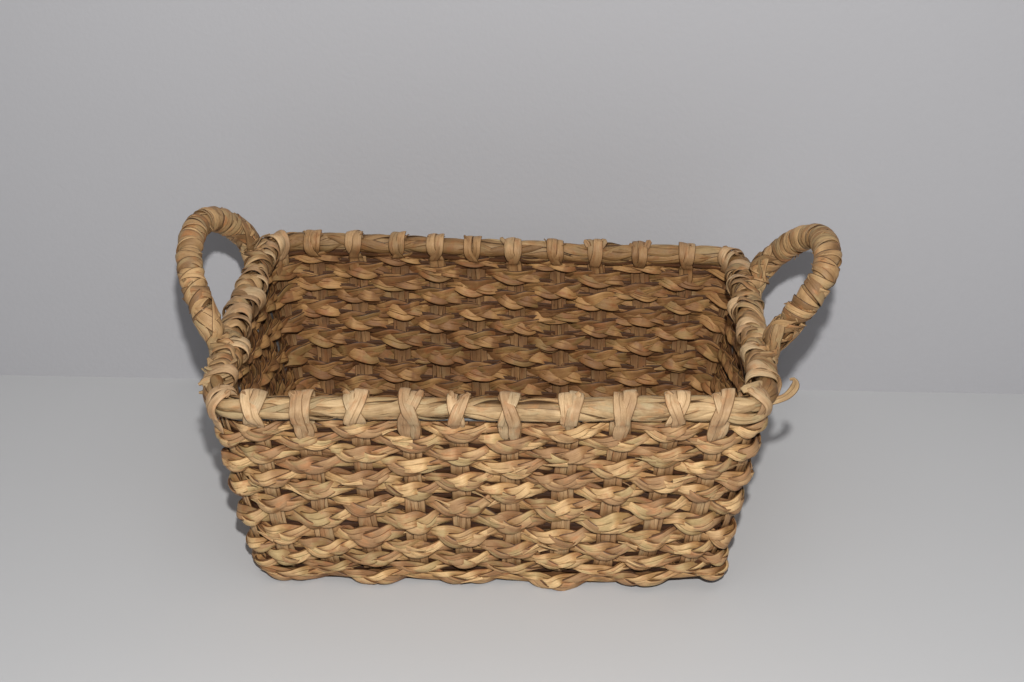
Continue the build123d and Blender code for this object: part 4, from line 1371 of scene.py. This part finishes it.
def ring_turn(piece, sign, y, seed):
    """One turn of leaf round the rim roll and wire on a short side."""
    draw = random(seed)
    points = np.array(RING + RING[:1])
    length = run_lengths(points)
    total = length[-1]
    at = np.linspace(0, total, 46, endpoint=False)
    ring = interp_columns(at, length, points)
    for _ in range(2):
        ring = 0.25 * np.roll(ring, 1, 0) + 0.5 * ring + 0.25 * np.roll(ring, -1, 0)
    tangent = tangents(ring, closed=True)
    facing = np.stack([tangent[:, 1], -tangent[:, 0]], -1)
    bump_at, bump = draw.uniform(8, 32), draw.uniform(0.4, 4.2)
    off = 0.2 + bump * np.exp(-(((at - bump_at) / 7.5) ** 2)) + wander(at, 9.0, seed + 1, 0.45, total)
    ring = ring + facing * off[:, None]
    width = 3.45 * draw.uniform(0.72, 1.12) * (1 + wander(at, 14.0, seed + 3, 0.12, total))
    lean = draw.choice([-1, 1]) * draw.uniform(2.0, 9.0)
    y = y + lean * np.sin(at / total * 2 * np.pi + draw.uniform(0, 6.28))
    y = y + wander(at, 12.0, seed + 2, 0.35, total)
    path = rim_local(sign, ring[:, 0], y, ring[:, 1])
    tip = wander(at, 15.0, seed + 4, 0.45, total)
    normal = np.stack([sign * facing[:, 0], tip, facing[:, 1]], -1)
    # painted shade on the part of the turn that lies inside the rim
    piece.strip(path, normal, width, 0.62, draw.uniform(0.15, 1.0), draw.uniform(),
                0.85 * smooth(1, -6, ring[:, 0]), around=10, bow=0.35, closed=True,
                v_start=draw.uniform(0, 30), edge=0.95, puff=0.6)


def wild_turn(piece, sign, y, seed):
    """A slack strip slantwise over the rim of a short side, standing off it in a loop."""
    draw = random(seed)
    start, stop = draw.uniform(160, 222), draw.uniform(-38, 30)
    drift = draw.choice([-1, 1]) * draw.uniform(7, 22)
    stand, peak = draw.uniform(1.5, 7.5), draw.uniform(0.25, 0.7)
    points, centres = [], []
    for part in np.linspace(0, 1, 8):
        degrees = start + (stop - start) * part
        angle = math.radians(degrees)
        loop = stand * math.exp(-(((part - peak) / 0.20) ** 2))
        radius = 9.7 + loop * (0.35 + 0.65 * smooth(80, 120, degrees)) + draw.uniform(-0.4, 0.5)
        place = y + drift * (part - 0.5) + draw.uniform(-0.8, 0.8)
        points.append(rim_local(sign, radius * math.cos(angle), place,
                                158.0 + radius * math.sin(angle)))
        centres.append(rim_local(sign, 0.0, place, 157.0))
    free_strip(piece, points, centres, draw.uniform(2.4, 4.2), draw.uniform(0.0, 1.0), seed + 5,
               taper=(draw.uniform(0.15, 0.6), draw.uniform(0.1, 0.5)), inner=0.2,
               curl=draw.uniform(-0.7, 0.7))


# strips of a foot's lashing: angle round the leg, then where it lands: outward, along, z
FOOT_STRIPS = (
    (0.9, [(11.0, 3.0, 163.0), (11.2, 6.0, 156.0), (9.0, 9.0, 148.0), (5.4, 11.5, 141.0)]),
    (-0.4, [(12.5, 0.5, 163.0), (12.0, 0.5, 154.0), (9.0, 1.0, 146.0), (5.2, 1.5, 139.0)]),
    (-1.5, [(11.0, -4.0, 163.0), (11.0, -7.0, 156.0), (8.8, -9.5, 148.0), (5.2, -11.0, 141.0)]),
    (2.4, [(5.5, 3.5, 169.0), (-1.5, 5.5, 168.6), (-8.6, 8.0, 162.5), (-9.0, 9.0, 154.0),
           (-5.0, 10.0, 145.5), (-1.5, 10.5, 139.5)]),
    (3.3, [(5.0, 0.0, 170.0), (-1.5, 0.0, 169.4), (-9.2, 0.5, 162.5), (-9.4, 1.0, 154.0),
           (-5.2, 1.0, 145.0), (-1.5, 1.0, 138.5)]),
    (4.2, [(5.5, -3.5, 169.0), (-1.5, -6.0, 168.8), (-8.8, -8.5, 162.0), (-9.0, -9.5, 154.0),
           (-5.0, -10.0, 146.0), (-1.5, -10.5, 140.0)]),
    (1.7, [(9.5, 6.5, 167.0), (4.0, 10.5, 167.5), (-3.0, 12.5, 167.0), (-8.6, 13.0, 160.5),
           (-8.2, 13.5, 152.0)]),
    (-2.3, [(9.5, -6.5, 167.0), (4.5, -10.5, 167.5), (-3.0, -12.0, 167.2),
            (-8.8, -13.0, 160.5), (-8.0, -13.5, 152.0)]),
)


def foot_lashing(piece, handle, end, seed):
    """Strips from the handle's foot fork to the outside and the inside of the rim."""
    draw = random(seed)
    foot = handle.feet[end]
    for n, (angle, landing) in enumerate(FOOT_STRIPS):
        angle += draw.uniform(-0.25, 0.25)
        points, centres = [], []
        turn_by = draw.choice([-1, 1]) * draw.uniform(0.9, 2.1)
        reach = draw.uniform(24, 40)
        # length from the foot, distance from the centre line, share of the turn
        for place, radius, back in ((reach, 8.3, 1.0), (reach * 0.75 + 3, 9.3, 0.66),
                                    (reach * 0.5 + 4, 9.5, 0.33), (10.0, 8.8, 0.0)):
            place = handle.total - place if end == 1 else place
            centre, tangent, out, _ = (a[0] for a in handle.at(np.array([place])))
            level = np.array([0.0, 1.0, 0.0]) - tangent[1] * tangent
            spin = angle + turn_by * back
            direction = unit(unit(out) * math.cos(spin) + level * math.sin(spin))
            points.append(centre + direction * radius)
            centres.append(centre)
        for out, along, z in landing:
            y = foot + along + draw.uniform(-0.7, 0.7)
            points.append(rim_local(handle.sign, out, y, z))
            centres.append(rim_local(handle.sign, 0.5, foot + along * 0.4, 157.0))
        free_strip(piece, points, centres, draw.uniform(2.9, 4.3), draw.uniform(0.2, 1.0),
                   seed + 3 * n, taper=(0.12, 0.5), inner=0.3 if landing[-1][0] < 3 else 0.0)


def build_lashing(handle, end, where):
    turns = TURNS[handle.name][where]
    seed = 11000 + 400 * end + (90 if handle.name == "right" else 0)
    piece = Piece("handle_lashing_%s_%s" % (handle.name, where), "leaf", "leaf_binding")
    for n, y in enumerate(turns):
        ring_turn(piece, handle.sign, y, seed + 20 * n)
    foot_lashing(piece, handle, end, seed + 150)
    draw = random(seed + 333)
    low, high = min(turns) - 9, max(turns) + 9
    for n in range(6):
        y = low + (high - low) * (n + draw.uniform(0, 1)) / 6
        wild_turn(piece, handle.sign, y, seed + 340 + 7 * n)
    piece.finish()


def build_middle_binding(handle):
    seed = 12000 + (300 if handle.name == "right" else 0)
    piece = Piece("rim_binding_" + handle.name, "leaf", "leaf_binding")
    for n, y in enumerate(MIDDLE_TURNS):
        ring_turn(piece, handle.sign, y, seed + 20 * n)
    for n in range(4):
        wild_turn(piece, handle.sign, -18.0 + 12.0 * n, seed + 100 + 7 * n)
    piece.finish()


for handle in handles:
    for end, where in enumerate(("front", "back")):
        build_lashing(handle, end, where)
    build_middle_binding(handle)


# ------------------------------------------------------------------ stage, metres
def stage_material(name, colour, grain, bump, one_sided=False):
    """Matt paint or cloth; one_sided makes it clear from behind."""
    graph = Graph(name)
    texture = graph.noise(graph.node("ShaderNodeTexCoord", out="Object"), detail=3.0, scale=grain)
    graph.shade({
        "Base Color": colour,
        "Roughness": 0.9,
        "Specular IOR Level": 0.15,
        "Normal": graph.bump(texture, strength=bump, distance=0.002),
    })
    if one_sided:
        mixer = graph.node("ShaderNodeMixShader", {
            0: graph.node("ShaderNodeNewGeometry", out="Backfacing"),
            1: Value(graph, graph.shader.outputs[0]),
            2: graph.node("ShaderNodeBsdfTransparent"),
        })
        graph.put(graph.tree.nodes["Material Output"].inputs, {0: mixer})
    return graph.material


def stage_quad(name, corners, material):
    mesh = bpy.data.meshes.new(name)
    mesh.from_pydata(corners, [], [(0, 1, 2, 3)])
    mesh.materials.append(material)
    ob = bpy.data.objects.new(name, mesh)
    bpy.context.scene.collection.objects.link(ob)
    ob.visible_shadow = False


STAGE_HALF, WALL_Y, WALL_TOP = 8, 0.178, 4
stage_quad(
    "floor",
    [(x * STAGE_HALF, y * STAGE_HALF, 0) for x, y in ((-1, -1), (1, -1), (1, 1), (-1, 1))],
    stage_material("floor_cloth", colour=(0.505, 0.507, 0.515), grain=9.0, bump=0.25),
)
stage_quad(
    "backdrop",
    [(-STAGE_HALF, WALL_Y, 0), (STAGE_HALF, WALL_Y, 0),
     (STAGE_HALF, WALL_Y, WALL_TOP), (-STAGE_HALF, WALL_Y, WALL_TOP)],
    stage_material("backdrop_paint", colour=(0.43, 0.43, 0.45), grain=260.0, bump=0.12,
                   one_sided=True),
)

# ------------------------------------------------------------------ camera
PITCH, YAW, ROLL = 0.5051904505, 0.0524627705, -0.0078577878      # radians
CAMERA_AT = np.array([70.8378 - ORIGIN_X, -1103.7278, 753.2885]) * 0.001


def build_camera():
    cos_yaw, sin_yaw = math.cos(YAW), math.sin(YAW)
    cos_pitch, sin_pitch = math.cos(PITCH), math.sin(PITCH)
    level = np.array([cos_yaw, sin_yaw, 0])
    forward = np.array([-sin_yaw * cos_pitch, cos_yaw * cos_pitch, -sin_pitch])
    upright = np.array([-sin_yaw * sin_pitch, cos_yaw * sin_pitch, cos_pitch])
    right = level * math.cos(ROLL) + upright * math.sin(ROLL)
    up = upright * math.cos(ROLL) - level * math.sin(ROLL)
    data = bpy.data.cameras.new("camera")
    data.sensor_width = 36.0
    data.lens = 59.765625
    data.clip_start, data.clip_end = 0.05, 50.0
    camera = bpy.data.objects.new("camera", data)
    rows = [[right[i], up[i], -forward[i], CAMERA_AT[i]] for i in range(3)]
    camera.matrix_world = Matrix(rows + [[0, 0, 0, 1]])
    bpy.context.scene.collection.objects.link(camera)
    bpy.context.scene.camera = camera


# ------------------------------------------------------------------ light
def area_light(name, at, target, size, power, colour=(1, 1, 1)):
    data = bpy.data.lights.new(name, "AREA")
    data.shape = "DISK"
    data.size = size
    data.energy = power
    data.color = colour
    ob = bpy.data.objects.new(name, data)
    ob.location = Vector(at)
    ob.rotation_mode = "QUATERNION"
    aim = np.array(target, float) - np.array(at, float)
    ob.rotation_quaternion = Vector(aim).to_track_quat("-Z", "Y")
    ob.visible_camera = False
    bpy.context.scene.collection.objects.link(ob)


build_camera()
area_light("key", at=CAMERA_AT + np.array([0.02, 0.02, 0.17]), target=(0.0, 0.0, 0.08),
           size=0.035, power=17.6, colour=(1.0, 0.985, 0.96))
area_light("fill_top", at=(0.1, -0.5, 2.2), target=(0.0, 0.0, 0.0), size=1.6, power=6.0)
area_light("fill_back", at=(-0.2, 0.95, 1.5), target=(0.0, 0.0, 0.05), size=1.6, power=3.0)

world = bpy.data.worlds.new("studio")
bpy.context.scene.world = world
world.use_nodes = True
background = world.node_tree.nodes["Background"]
background.inputs["Color"].default_value = (0.80, 0.81, 0.84, 1)
background.inputs["Strength"].default_value = 0.20
view = bpy.context.scene.view_settings
view.view_transform = "Standard"
view.look = "None"
view.exposure = 0.0

bpy.context.view_layer.update()
